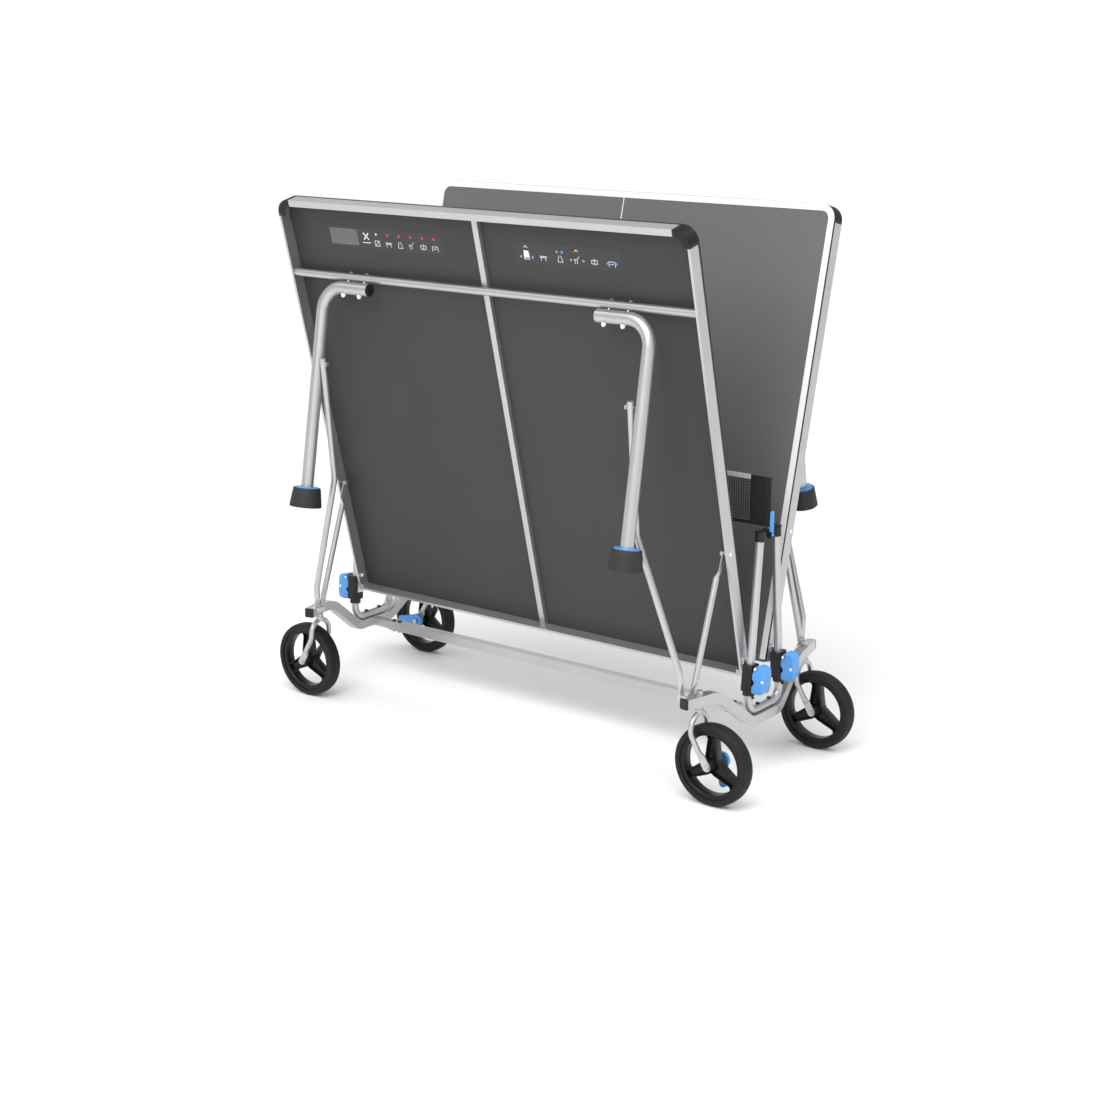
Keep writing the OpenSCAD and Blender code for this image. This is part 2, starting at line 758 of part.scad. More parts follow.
// A rubber foot with an adjusting ring, which turns on the end of the leg
module foot() on_leg() translate([0, 0, leg_len - foot_h]) difference() {
    union() {
        difference() {
            cylinder(r1 = foot_r1, r2 = foot_r0, h = foot_h);
            translate([0, 0, -cut]) cylinder(r = foot_r1 - foot_lip, h = cut + ring_sunk);
        }
        translate([0, 0, -ring_rise]) cylinder(r = foot_r1 - foot_lip, h = ring_rise + ring_sunk);
    }
    translate([0, 0, -margin]) cylinder(r = leg_r + run_gap, h = margin + foot_depth + 0.5);
}

// ---- Casters ---------------------------------------------------------------

// An upright arch over the wheel, with legs that lean forward to the axle
module fork_legs() {
    a = atan2(axle.x, fork_knee_z - axle.y);
    straight = norm(axle - [0, fork_knee_z]) - tangent(a, knee_r);
    translate([0, 0, fork_top - fork_y]) {
        rotate([90, 0, 90]) rotate_extrude(angle = 180) translate([fork_y, 0]) circle(r = fork_r + swell);
        front_and_rear() translate([0, -fork_y, 0]) rotate([180, 0, 0])
            run(fork_top - fork_y - fork_knee_z - tangent(a, knee_r), fork_r) bend(a, knee_r, fork_r)
            run(straight - tip_len, fork_r) fork_tip();
    }
}

// The flattened lower end of a fork leg, as far as the axle; it is pressed towards the wheel
module fork_tip() {
    hull() {
        cylinder(r = fork_r, h = 0.5, $fn = 32);
        translate([-tip_r, -tip_t / 2 - tip_in, tip_start]) cube([2 * tip_r, tip_t, 0.5]);
    }
    translate([-tip_r, -tip_t / 2 - tip_in, tip_start]) cube([2 * tip_r, tip_t, tip_len - tip_start]);
    translate([0, tip_t / 2 - tip_in, tip_len]) rotate([90, 0, 0]) cylinder(r = tip_r, h = tip_t);
}

module fork(with_brake) translate([stem_x, stem_y, 0]) {
    fork_legs();
    translate([0, 0, fork_top - 4]) cylinder(r = stem_r, h = socket_z1 - fork_top + 16);
    translate([0, 0, fork_top - 4]) cylinder(r = crown_r, h = socket_z0 - fork_top + 4 - eye_gap);
    translate([0, 0, socket_z1 + eye_gap]) cylinder(r = socket_r, h = stem_nut_h, $fn = 6);
    translate([axle.x, 0, axle.y]) {
        y_pin(-tip_y - 7, tip_y + (with_brake ? brake_t + 10 : 7), axle_r);
        y_pin(-tip_y - 8, -tip_y - 2, 8);
        if (with_brake) y_pin(tip_y + brake_t + 4.4, tip_y + brake_t + 10, 8);
        else y_pin(tip_y + 2, tip_y + 8, 8);
    }
}

module on_axle() translate([stem_x + axle.x, stem_y, axle.y]) rotate([90, 0, 0]) children();

module wheel() on_axle() difference() {
    union() {
        cylinder(r = hub_r, h = hub_len, center = true);
        for (a = [90:120:330]) rotate([0, 0, a]) translate([10, 0, -9]) linear_extrude(18)
            polygon([[0, -hub_r], [rim_in_r - 8, -12], [rim_in_r - 8, 12], [0, hub_r]]);
        rotate_extrude() {
            translate([rim_in_r, -rim_half]) square([tyre_in_r - rim_in_r, 2 * rim_half]);
            translate([rim_in_r - 3, -5]) square([6, 10]);
        }
    }
    cylinder(r = axle_r + run_gap, h = hub_len + 2 * cut, center = true);
}

module tyre() on_axle() rotate_extrude() difference() {
    round_rect([tyre_in_r - 9, -tyre_w / 2], [wheel_r, tyre_w / 2], 8.5);
    translate([0, -through / 2]) square([tyre_in_r + seat_gap, through]);
}

// A foot brake: a ring on the axle and an arm that points at some angle from straight down
module brake(angle) translate([stem_x + axle.x, stem_y + tip_y + 3, axle.y])
    rotate([-90, 0, 0]) rotate([0, 0, angle]) linear_extrude(brake_t) difference() {
        union() {
            circle(r = brake_r);
            hull() {
                translate([0, 21]) circle(r = 17, $fn = 32);
                translate([6, 70]) circle(r = 13, $fn = 32);
            }
        }
        circle(r = axle_r + run_gap);
    }

// ---- Nodes -----------------------------------------------------------------

module front_board() board();
module front_rim() panel_rim();
module front_mid_beam() mid_beam();
module front_corner_caps() corner_caps();
module front_sliders() sliders();
module front_pivot_plates() pivot_plates();
module front_left_lock() color(blue) left() lock_handle();
module front_right_lock() color(blue) lock_handle();
module front_arms() arms();
module front_links() links();
module front_cross_tube() cross_tube();
module front_legs() legs();
module front_left_foot() color(black) left() foot();
module front_right_foot() color(black) foot();
module front_left_fork() color(steel) left() fork(false);
module front_right_fork() color(steel) fork(true);
module front_left_wheel() color(black) left() wheel();
module front_right_wheel() color(black) wheel();
module front_left_tyre() color(black) left() tyre();
module front_right_tyre() color(black) tyre();
module front_brake() color(blue) brake(0);

module rear_board() rear() front_board();
module rear_rim() rear() front_rim();
module rear_mid_beam() rear() front_mid_beam();
module rear_corner_caps() rear() front_corner_caps();
module rear_sliders() rear() front_sliders();
module rear_pivot_plates() rear() front_pivot_plates();
module rear_left_lock() rear() front_left_lock();
module rear_right_lock() rear() front_right_lock();
module rear_arms() rear() front_arms();
module rear_links() rear() front_links();
module rear_cross_tube() rear() front_cross_tube();
module rear_legs() rear() front_legs();
module rear_left_foot() rear() front_left_foot();
module rear_right_foot() rear() front_right_foot();
module rear_left_fork() color(steel) rear() left() fork(true);
module rear_right_fork() color(steel) rear() fork(false);
module rear_left_wheel() rear() front_left_wheel();
module rear_right_wheel() rear() front_right_wheel();
module rear_left_tyre() rear() front_left_tyre();
module rear_right_tyre() rear() front_right_tyre();
module rear_brake() color(blue) rear() left() brake(-90);

left_rail();
right_rail();
rail_plugs();
crossbar();
crossbar_sleeves();
frame_bolts();
uprights();
upright_stops();
post_caps();
caster_sockets();
strut_pins();
net();
net_sleeves();
net_posts();
left_net_lever();
right_net_lever();
left_net_knob();
right_net_knob();
front_board();
front_rim();
front_mid_beam();
front_corner_caps();
front_sliders();
front_pivot_plates();
front_left_lock();
front_right_lock();
front_arms();
front_links();
front_cross_tube();
front_legs();
front_left_foot();
front_right_foot();
rear_board();
rear_rim();
rear_mid_beam();
rear_corner_caps();
rear_sliders();
rear_pivot_plates();
rear_left_lock();
rear_right_lock();
rear_arms();
rear_links();
rear_cross_tube();
rear_legs();
rear_left_foot();
rear_right_foot();
front_left_fork();
front_right_fork();
rear_left_fork();
rear_right_fork();
front_left_wheel();
front_right_wheel();
rear_left_wheel();
rear_right_wheel();
front_left_tyre();
front_right_tyre();
rear_left_tyre();
rear_right_tyre();
front_brake();
rear_brake();
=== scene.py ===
import json
import math

import bmesh
import bpy
from mathutils import Matrix, Vector, noise


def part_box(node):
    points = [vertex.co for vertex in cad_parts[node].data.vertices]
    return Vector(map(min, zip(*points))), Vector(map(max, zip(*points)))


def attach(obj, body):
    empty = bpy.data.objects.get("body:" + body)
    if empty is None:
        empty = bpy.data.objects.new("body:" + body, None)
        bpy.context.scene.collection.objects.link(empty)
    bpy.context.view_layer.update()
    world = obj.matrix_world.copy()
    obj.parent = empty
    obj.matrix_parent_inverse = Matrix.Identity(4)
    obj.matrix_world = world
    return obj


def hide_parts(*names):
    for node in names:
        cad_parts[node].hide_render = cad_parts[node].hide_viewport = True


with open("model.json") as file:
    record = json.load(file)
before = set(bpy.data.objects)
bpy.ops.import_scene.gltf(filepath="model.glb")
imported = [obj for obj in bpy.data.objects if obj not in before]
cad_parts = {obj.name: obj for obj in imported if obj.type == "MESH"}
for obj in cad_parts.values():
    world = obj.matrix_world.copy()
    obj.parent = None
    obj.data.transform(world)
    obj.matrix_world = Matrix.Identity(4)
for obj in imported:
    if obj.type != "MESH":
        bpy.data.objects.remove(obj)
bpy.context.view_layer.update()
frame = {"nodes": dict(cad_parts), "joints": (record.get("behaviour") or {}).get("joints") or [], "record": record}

MM = 0.001
SIDES = {"left": -1, "right": 1}
ENDS = {"front": 1, "rear": -1}
JOINTS = {joint["name"]: joint for joint in frame["joints"]}

# A half-table: its length and half its width, then the depths of its board, black edge and rim
HALF_LEN = 1370 * MM
HALF_W = 762.5 * MM
BOARD_T = 4.5 * MM
EDGE_BAND = 8 * MM
RIM_DEPTH = 48 * MM

# The round corners at its far edge and along the net
FAR_R = 45 * MM
NEAR_R = 8 * MM


# ---- Materials -----------------------------------------------------------------------------------

# Most of a noise's values lie between these
NOISE_MIDDLE = (0.3, 0.7)


def node_of(tree, kind, **values):
    """A shader node with some of its inputs or settings filled in."""
    node = tree.nodes.new(kind)
    for name, value in values.items():
        if name in node.inputs:
            node.inputs[name].default_value = value
        else:
            setattr(node, name, value)
    return node


def noise_of(tree, scale, detail=2.0):
    coords = node_of(tree, "ShaderNodeTexCoord")
    texture = node_of(tree, "ShaderNodeTexNoise", Scale=scale, Detail=detail)
    tree.links.new(coords.outputs["Object"], texture.inputs["Vector"])
    return texture.outputs["Fac"]


def spread(tree, value, source, result, easing="LINEAR"):
    """Maps a value from one range to another."""
    node = node_of(tree, "ShaderNodeMapRange", interpolation_type=easing)
    for name, number in zip(("From Min", "From Max", "To Min", "To Max"), (*source, *result)):
        node.inputs[name].default_value = number
    tree.links.new(value, node.inputs["Value"])
    return node.outputs["Result"]


def math_of(tree, operation, *values):
    """One arithmetic step on one or two values."""
    node = node_of(tree, "ShaderNodeMath", operation=operation)
    for value, socket in zip(values, node.inputs):
        tree.links.new(value, socket)
    return node.outputs[0]


def mixed_colour(tree, value, low, high):
    """A colour between two others, from the middle of a noise."""
    ramp = node_of(tree, "ShaderNodeValToRGB")
    for stop, position, colour in zip(ramp.color_ramp.elements, NOISE_MIDDLE, (low, high)):
        stop.position = position
        stop.color = (*colour, 1)
    tree.links.new(value, ramp.inputs["Fac"])
    return ramp.outputs["Color"]


def bumped(tree, shader, height, strength, distance):
    bump = node_of(tree, "ShaderNodeBump", Strength=strength, Distance=distance)
    tree.links.new(height, bump.inputs["Height"])
    tree.links.new(bump.outputs["Normal"], shader.inputs["Normal"])


def finish_of(name, colour, rough, metal=0.0, coat=0.0, shine=0.5, vary=0.05, mottle=7.0, grain=700.0,
              bump=0.15):
    """A finish with slow drifts of colour, fine drifts of roughness and a fine bumpy grain."""
    material = bpy.data.materials.new(name)
    material.use_nodes = True
    tree = material.node_tree
    shader = tree.nodes["Principled BSDF"]
    shader.inputs["Metallic"].default_value = metal
    shader.inputs["Specular IOR Level"].default_value = shine
    shader.inputs["Coat Weight"].default_value = coat
    shader.inputs["Coat Roughness"].default_value = 0.25
    low = [c * (1 - vary) for c in colour]
    high = [min(1.0, c * (1 + vary)) for c in colour]
    broad = noise_of(tree, mottle)
    fine = noise_of(tree, grain, 3.0)
    tree.links.new(mixed_colour(tree, broad, low, high), shader.inputs["Base Color"])
    tree.links.new(spread(tree, fine, NOISE_MIDDLE, (rough - 0.05, rough + 0.05)), shader.inputs["Roughness"])
    bumped(tree, shader, fine, bump, 0.2 * MM)
    return material


def cloth_of(name, colour, threads, rough=0.9):
    """Woven cloth: two crossing sets of threads darken the colour and raise the surface."""
    material = finish_of(name, colour, rough)
    tree = material.node_tree
    shader = tree.nodes["Principled BSDF"]
    shader.inputs["Sheen Weight"].default_value = 0.05
    coords = node_of(tree, "ShaderNodeTexCoord")
    waves = []
    for direction in ("X", "Z"):
        wave = node_of(tree, "ShaderNodeTexWave", bands_direction=direction, Scale=threads)
        tree.links.new(coords.outputs["Object"], wave.inputs["Vector"])
        waves.append(wave.outputs["Fac"])
    weave = math_of(tree, "MULTIPLY", *waves)
    dark = [c * 0.6 for c in colour]
    tree.links.new(mixed_colour(tree, weave, dark, colour), shader.inputs["Base Color"])
    bumped(tree, shader, weave, 0.5, 0.3 * MM)
    return material


SILVER = finish_of("silver_paint", (0.5, 0.5, 0.505), 0.36, metal=0.8, vary=0.03)
ZINC = finish_of("zinc_plate", (0.72, 0.72, 0.7), 0.25, metal=0.9, vary=0.06, mottle=60.0)
BRIGHT = finish_of("bright_nut", (0.86, 0.86, 0.85), 0.3, metal=0.3, vary=0.04, mottle=80.0)
BLACK_STEEL = finish_of("black_steel", (0.02, 0.02, 0.021), 0.4, metal=0.3, shine=0.3)
BOARD = finish_of("underside_laminate", (0.038, 0.038, 0.038), 0.55, shine=0.35, vary=0.04, mottle=3.0,
                  grain=1400.0, bump=0.1)
PLAY = finish_of("playing_coat", (0.12, 0.121, 0.123), 0.38, vary=0.03, mottle=2.5, grain=1800.0, bump=0.12)
LINE = finish_of("white_line", (0.78, 0.78, 0.78), 0.5, vary=0.02, grain=1800.0)
BLACK = finish_of("black_moulding", (0.012, 0.012, 0.0125), 0.42, shine=0.3, vary=0.12, grain=900.0, bump=0.2)
RUBBER = finish_of("rubber", (0.024, 0.024, 0.025), 0.6, shine=0.3, vary=0.12, grain=600.0, bump=0.25)
TYRE = finish_of("tyre_rubber", (0.01, 0.01, 0.0105), 0.6, shine=0.25, vary=0.15, grain=500.0, bump=0.3)
WHEEL = finish_of("wheel_moulding", (0.005, 0.005, 0.0052), 0.35, shine=0.25, vary=0.12, grain=900.0,
                  bump=0.2)
BLUE = finish_of("blue_moulding", (0.075, 0.29, 0.68), 0.38, coat=0.15, vary=0.06, grain=900.0, bump=0.12)
CORD = finish_of("net_thread", (0.014, 0.014, 0.015), 0.8, shine=0.3, vary=0.2, mottle=200.0)
CLOTH = cloth_of("black_cloth", (0.008, 0.008, 0.0085), 900.0)
TAPE = cloth_of("white_tape", (0.72, 0.72, 0.72), 900.0, rough=0.8)
STICKER = finish_of("sticker_film", (0.025, 0.025, 0.025), 0.35, vary=0.05)
STICKER_GREY = finish_of("sticker_grey", (0.11, 0.11, 0.11), 0.4, vary=0.1, mottle=90.0)
PRINT = finish_of("white_print", (0.75, 0.75, 0.75), 0.5, vary=0.05, mottle=60.0)
PRINT_RED = finish_of("red_print", (0.62, 0.03, 0.035), 0.5, vary=0.05, mottle=60.0)
PRINT_BLUE = finish_of("blue_print", (0.07, 0.3, 0.68), 0.5, vary=0.05, mottle=60.0)

FINISHES = {
    "silver_steel": SILVER,
    "zinc_steel": ZINC,
    "black_steel": BLACK_STEEL,
    "table_board": BOARD,
    "black_plastic": BLACK,
    "wheel_plastic": WHEEL,
    "tyre_rubber": TYRE,
    "black_rubber": RUBBER,
    "blue_plastic": BLUE,
    "net_mesh": CORD,
    "net_cloth": CLOTH,
}


# ---- Mesh tools ----------------------------------------------------------------------------------

def basis(origin, x, y, z):
    """A frame with these three directions, which may be a mirrored one."""
    turn = Matrix((Vector(x), Vector(y), Vector(z))).transposed()
    return Matrix.Translation(Vector(origin)) @ turn.to_4x4()


def arc(centre, radius, start, end, steps=12):
    """Points on a circle, from one angle to another in degrees."""
    angles = [math.radians(start + (end - start) * k / steps) for k in range(steps + 1)]
    return [(centre[0] + radius * math.cos(a), centre[1] + radius * math.sin(a)) for a in angles]


def smooth_loop(points, steps=5):
    """A closed smooth curve through some points, which are in millimetres."""
    count = len(points)
    curve = []
    for k in range(count):
        a, b, c, d = (Vector(points[(k + i - 1) % count]) for i in range(4))
        for step in range(steps):
            t = step / steps
            bend = (2 * a - 5 * b + 4 * c - d) * t ** 2 + (3 * b - a - 3 * c + d) * t ** 3
            curve.append(tuple((2 * b + (c - a) * t + bend) * 0.5 * MM))
    return curve


def slab(bm, low, high):
    """A box between two corners."""
    size = Vector(high) - Vector(low)
    middle = (Vector(high) + Vector(low)) / 2
    matrix = Matrix.Translation(middle) @ Matrix.Diagonal((*size, 1))
    bmesh.ops.create_cube(bm, size=1, matrix=matrix)


def lathe(bm, profile, steps=64, closed=True, ripple=None, place=Matrix()):
    """Turns a profile of (radius, height) about Z. ripple(angle, height) scales the radius."""
    rings = []
    for k in range(steps):
        a = 2 * math.pi * k / steps
        ring = []
        for r, h in profile:
            s = ripple(a, h) if ripple else 1
            ring.append(bm.verts.new(place @ Vector((r * s * math.cos(a), r * s * math.sin(a), h))))
        rings.append(ring)
    count = len(profile)
    for k in range(steps):
        a, b = rings[k], rings[(k + 1) % steps]
        for i in range(count if closed else count - 1):
            j = (i + 1) % count
            bm.faces.new((a[i], a[j], b[j], b[i]))
    if not closed:
        bm.faces.new([ring[0] for ring in rings])
        bm.faces.new([ring[-1] for ring in reversed(rings)])


def merge(bm, other):
    """Adds one mesh that is being drawn to another."""
    mesh = bpy.data.meshes.new("merged")
    other.to_mesh(mesh)
    other.free()
    bm.from_mesh(mesh)
    bpy.data.meshes.remove(mesh)


def plate(bm, loops, low, high, rounding=0.0, place=Matrix()):
    """A flat plate from low to high along Z. The first loop is its outline and the others are holes."""
    curve = bpy.data.curves.new("plate", "CURVE")
    curve.dimensions = "2D"
    curve.fill_mode = "BOTH"
    for loop in loops:
        spline = curve.splines.new("POLY")
        spline.points.add(len(loop) - 1)
        for point, (x, y) in zip(spline.points, loop):
            point.co = (x, y, 0, 1)
        spline.use_cyclic_u = True
    curve.extrude = (high - low) / 2 - rounding
    curve.bevel_depth = rounding
    curve.bevel_resolution = 1
    curve.offset = -rounding
    holder = bpy.data.objects.new("plate", curve)
    bpy.context.scene.collection.objects.link(holder)
    graph = bpy.context.evaluated_depsgraph_get()
    mesh = bpy.data.meshes.new_from_object(holder.evaluated_get(graph))
    bpy.data.objects.remove(holder)
    mesh.transform(place @ Matrix.Translation((0, 0, (low + high) / 2)))
    bm.from_mesh(mesh)
    bpy.data.meshes.remove(mesh)


def round_edges(bm, width, segments=2):
    """Rounds every sharp edge."""
    sharp = [e for e in bm.edges if len(e.link_faces) == 2 and e.calc_face_angle(0) > math.radians(35)]
    bmesh.ops.bevel(bm, geom=sharp, offset=width, segments=segments, profile=0.6, affect="EDGES",
                    clamp_overlap=True)


def piece(name, bm, material, body, place=Matrix(), smooth=40):
    """Makes a piece of the object from a mesh that was drawn in its own frame."""
    bmesh.ops.remove_doubles(bm, verts=bm.verts, dist=1e-6)
    bm.transform(place)
    bmesh.ops.recalc_face_normals(bm, faces=bm.faces)
    mesh = bpy.data.meshes.new(name)
    bm.to_mesh(mesh)
    bm.free()
    mesh.materials.append(material)
    mesh.shade_smooth()
    mesh.set_sharp_from_angle(angle=math.radians(smooth))
    made = bpy.data.objects.new(name, mesh)
    bpy.context.scene.collection.objects.link(made)
    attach(made, body)
    return made


# ---- Half-tables ---------------------------------------------------------------------------------

def panel(end):
    """A half-table's frame: X, the distance from its net edge, and the depth below its playing face."""
    mount = next(m for m in frame["record"]["mounts"] if m["name"] == end + "_play_surface")
    face = Vector(mount["axis"]).normalized()
    along = (Vector((0, 0, 1)) - face * face.z).normalized()
    origin = Vector(mount["pos_m"]) - along * HALF_LEN / 2
    return basis(origin, (1, 0, 0), along, -face)


def on_table(end, name, bm, material):
    """Makes a piece that was drawn in its half-table's own frame."""
    piece(end + "_" + name, bm, material, end + "_table", panel(end))


def far_corners(inset):
    """The two round corners of the far edge, drawn in by inset, from right to left."""
    x, y = HALF_W - FAR_R, HALF_LEN - FAR_R
    return arc((x, y), FAR_R - inset, 0, 90) + arc((-x, y), FAR_R - inset, 90, 180)


def half_outline(inset):
    """The outline of a half-table, drawn in by inset: round far corners and nearly square near ones."""
    x = HALF_W - NEAR_R
    left = arc((-x, NEAR_R), NEAR_R - inset, 180, 270, 6)
    right = arc((x, NEAR_R), NEAR_R - inset, 270, 360, 6)
    return left + right + far_corners(inset)


def border_outline(inset, width):
    """The white border: down both sides and across the far edge, open along the net."""
    outer = [(HALF_W - inset, NEAR_R)] + far_corners(inset) + [(inset - HALF_W, NEAR_R)]
    inner = [(HALF_W - width, NEAR_R)] + far_corners(width) + [(width - HALF_W, NEAR_R)]
    return outer + inner[::-1]


# The playing face: the coat's thickness, and the widths of its border and of its centre line
COAT = 0.3 * MM
BORDER_W = 20 * MM
CENTRE_LINE_W = 3 * MM


def playing_face(end):
    """The grey coat, its white lines and the black band round the board's edge."""
    bm = bmesh.new()
    plate(bm, [half_outline(0.2 * MM)], -COAT, COAT)
    on_table(end, "playing_coat", bm, PLAY)
    bm = bmesh.new()
    plate(bm, [border_outline(0.3 * MM, BORDER_W)], -2 * COAT, 0)
    line = CENTRE_LINE_W / 2
    slab(bm, (-line, NEAR_R, -2 * COAT), (line, HALF_LEN - BORDER_W + 0.5 * MM, 0))
    on_table(end, "lines", bm, LINE)
    bm = bmesh.new()
    plate(bm, [half_outline(-0.4 * MM), half_outline(0.4 * MM)], COAT, EDGE_BAND)
    on_table(end, "edge_band", bm, BLACK)


# The back of a far corner's cap: how far it reaches along the rim, and its ribs
CAP_REACH = 52 * MM
CAP_RIBS = 6
CAP_RIB_HALF = 1.1 * MM


def corner_back(bm, side):
    """A plate over the rim's flange at one far corner, with radial ribs."""
    centre = Vector(((HALF_W - FAR_R) * side, HALF_LEN - FAR_R, 0))
    place = basis(centre, (side, 0, 0), (0, 1, 0), (0, 0, 1))
    tail = FAR_R - CAP_REACH
    edge = FAR_R - 0.3 * MM
    outer = [(edge, tail)] + arc((0, 0), edge, 0, 90) + [(tail, edge)]
    inner = [(tail, 23 * MM), (4 * MM, 22 * MM), (14 * MM, 14 * MM), (22 * MM, 4 * MM), (23 * MM, tail)]
    plate(bm, [outer + inner], RIM_DEPTH - 3 * MM, RIM_DEPTH + 0.7 * MM, 0.3 * MM, place)
    rib = arc((26 * MM, 0), CAP_RIB_HALF, 90, 270, 6) + arc((40 * MM, 0), CAP_RIB_HALF, -90, 90, 6)
    for k in range(CAP_RIBS):
        turn = place @ Matrix.Rotation(math.radians(8 + 15 * k), 4, "Z")
        plate(bm, [rib], RIM_DEPTH, RIM_DEPTH + 1.8 * MM, 0.4 * MM, turn)


def corner_backs(end):
    bm = bmesh.new()
    for side in SIDES.values():
        corner_back(bm, side)
    on_table(end, "corner_backs", bm, BLACK)


def domed_head(bm, place, radius=6 * MM, height=3 * MM):
    """A domed screw head that stands on its frame's XY plane."""
    steps = 6
    angles = [math.radians(90 * k / steps) for k in range(steps)]
    dome = [(radius * math.cos(angle), height * math.sin(angle)) for angle in angles]
    lathe(bm, [(radius, -0.5 * MM)] + dome + [(0.8 * MM, height)], 24, closed=False, place=place)


# The arm's pivot on the rim: its distance from the net edge and from the playing face
ARM_PIVOT = (397 * MM, 33 * MM)


def rim_bolts(end):
    """Bolt heads on the outside of the rim, where the arms hold it."""
    bm = bmesh.new()
    for side in SIDES.values():
        domed_head(bm, basis((HALF_W * side, *ARM_PIVOT), (0, 1, 0), (0, 0, 1), (side, 0, 0)))
    on_table(end, "rim_bolts", bm, BRIGHT)


def pivot_bolts(end):
    """Bolt heads on the inside of the rim, on the axis that the half-table folds about."""
    bm = bmesh.new()
    pivot = JOINTS[end + "_fold"]["pos_m"]
    for side in SIDES.values():
        place = basis(((HALF_W - 6 * MM) * side, pivot[1], pivot[2]), (0, 1, 0), (0, 0, 1), (-side, 0, 0))
        domed_head(bm, place, 6.5 * MM, 3.5 * MM)
    piece(end + "_pivot_bolts", bm, BRIGHT, end + "_carriage")


# ---- Stickers on the underside of the front half --------------------------------------------------

STICKER_LOW = 1220 * MM
STICKER_HIGH = 1282 * MM

# How far strokes and dots are from the playing face
PRINT_DEPTH = BOARD_T + 0.35 * MM
DOT_LOW = BOARD_T + 0.2 * MM
DOT_HIGH = BOARD_T + 0.45 * MM


def printed(name, bm, material):
    """Makes a piece of a sticker on the front half's underside."""
    piece(name, bm, material, "front_table", panel("front"))


def film(name, low_x, high_x, material, lift=0.25 * MM, low=STICKER_LOW, high=STICKER_HIGH, corner=6 * MM):
    """A thin film with round corners."""
    bm = bmesh.new()
    x0, x1, y0, y1 = low_x + corner, high_x - corner, low + corner, high - corner
    loop = arc((x1, y0), corner, -90, 0, 5) + arc((x1, y1), corner, 0, 90, 5)
    loop += arc((x0, y1), corner, 90, 180, 5) + arc((x0, y0), corner, 180, 270, 5)
    plate(bm, [loop], BOARD_T - 0.1 * MM, BOARD_T + lift)
    printed(name, bm, material)


def line_art(bm, strokes, origin, scale, width=1.6 * MM):
    """Draws straight strokes as thin raised bars. A stroke is a start and an end."""
    for start, end in strokes:
        a = Vector((*start, 0)) * scale
        b = Vector((*end, 0)) * scale
        along = (b - a).normalized()
        across = Vector((-along.y, along.x, 0))
        place = basis(Vector(origin) + a, along, across, (0, 0, 1))
        bar = bmesh.ops.create_cube(bm, size=1)["verts"]
        length = (b - a).length
        shape = Matrix.Translation((length / 2, 0, 0)) @ Matrix.Diagonal((length + width, width, 0.2 * MM, 1))
        bmesh.ops.transform(bm, verts=bar, matrix=place @ shape)


def rectangle(x0, y0, x1, y1):
    corners = [(x0, y0), (x1, y0), (x1, y1), (x0, y1)]
    return [(corners[k], corners[(k + 1) % 4]) for k in range(4)]


# Small plain drawings of tables, as strokes on a grid
TABLES = [
    rectangle(-8, 0, 8, 14) + [((-8, 0), (8, 14))],
    [((-10, 8), (10, 8)), ((-7, 8), (-7, 0)), ((7, 8), (7, 0)), ((-10, 11), (10, 11))],
    [((-8, 0), (-3, 16)), ((8, 0), (3, 16)), ((-8, 0), (8, 0))],
    [((-10, 10), (0, 10)), ((0, 10), (7, 18)), ((-7, 10), (-7, 0)), ((0, 10), (0, 0))],
    rectangle(-9, 3, 9, 12) + [((0, 0), (0, 16))],
    [((-9, 0), (-9, 12)), ((-9, 12), (9, 12)), ((9, 12), (9, 0)), ((-4, 6), (4, 6))],
]


def icons(name, centres, low):
    """A row of the table drawings."""
    bm = bmesh.new()
    for drawing, x in zip(TABLES, centres):
        line_art(bm, drawing, (x, low, PRINT_DEPTH), 1.15 * MM)
    printed(name, bm, PRINT)


def dots(name, places, material, radius=3.6 * MM):
    bm = bmesh.new()
    for x, y in places:
        plate(bm, [arc((x, y), radius, 0, 345, 23)], DOT_LOW, DOT_HIGH)
    printed(name, bm, material)


def left_sticker():
    """A strip with a grey block, a cross, a row of drawings and a dot over each of them."""
    film("left_sticker", -605 * MM, -150 * MM, STICKER)
    film("left_sticker_block", -600 * MM, -487 * MM, STICKER_GREY, lift=0.4 * MM,
         low=STICKER_LOW + 6 * MM, high=STICKER_HIGH - 5 * MM, corner=3 * MM)
    bm = bmesh.new()
    centre = (-452 * MM, 1257 * MM, PRINT_DEPTH)
    line_art(bm, [((-9, -9), (9, 9)), ((-9, 9), (9, -9))], centre, MM, width=4 * MM)
    line_art(bm, [((-16, -20), (14, -20))], centre, MM, width=2.5 * MM)
    printed("left_sticker_cross", bm, PRINT)
    columns = [(-410 + 46 * k) * MM for k in range(len(TABLES))]
    places = [(x, 1266 * MM) for x in columns]
    icons("left_sticker_icons", columns, 1229 * MM)
    dots("left_sticker_white_dot", places[:1], PRINT)
    dots("left_sticker_red_dots", places[1:], PRINT_RED, 4.6 * MM)


# Blue dots in pairs, in millimetres: the drawing a pair stands beside, its distance from it and its height
BLUE_PAIRS = ((0, 21, 1238), (2, 9, 1261), (3, 22, 1240), (5, 14, 1240))


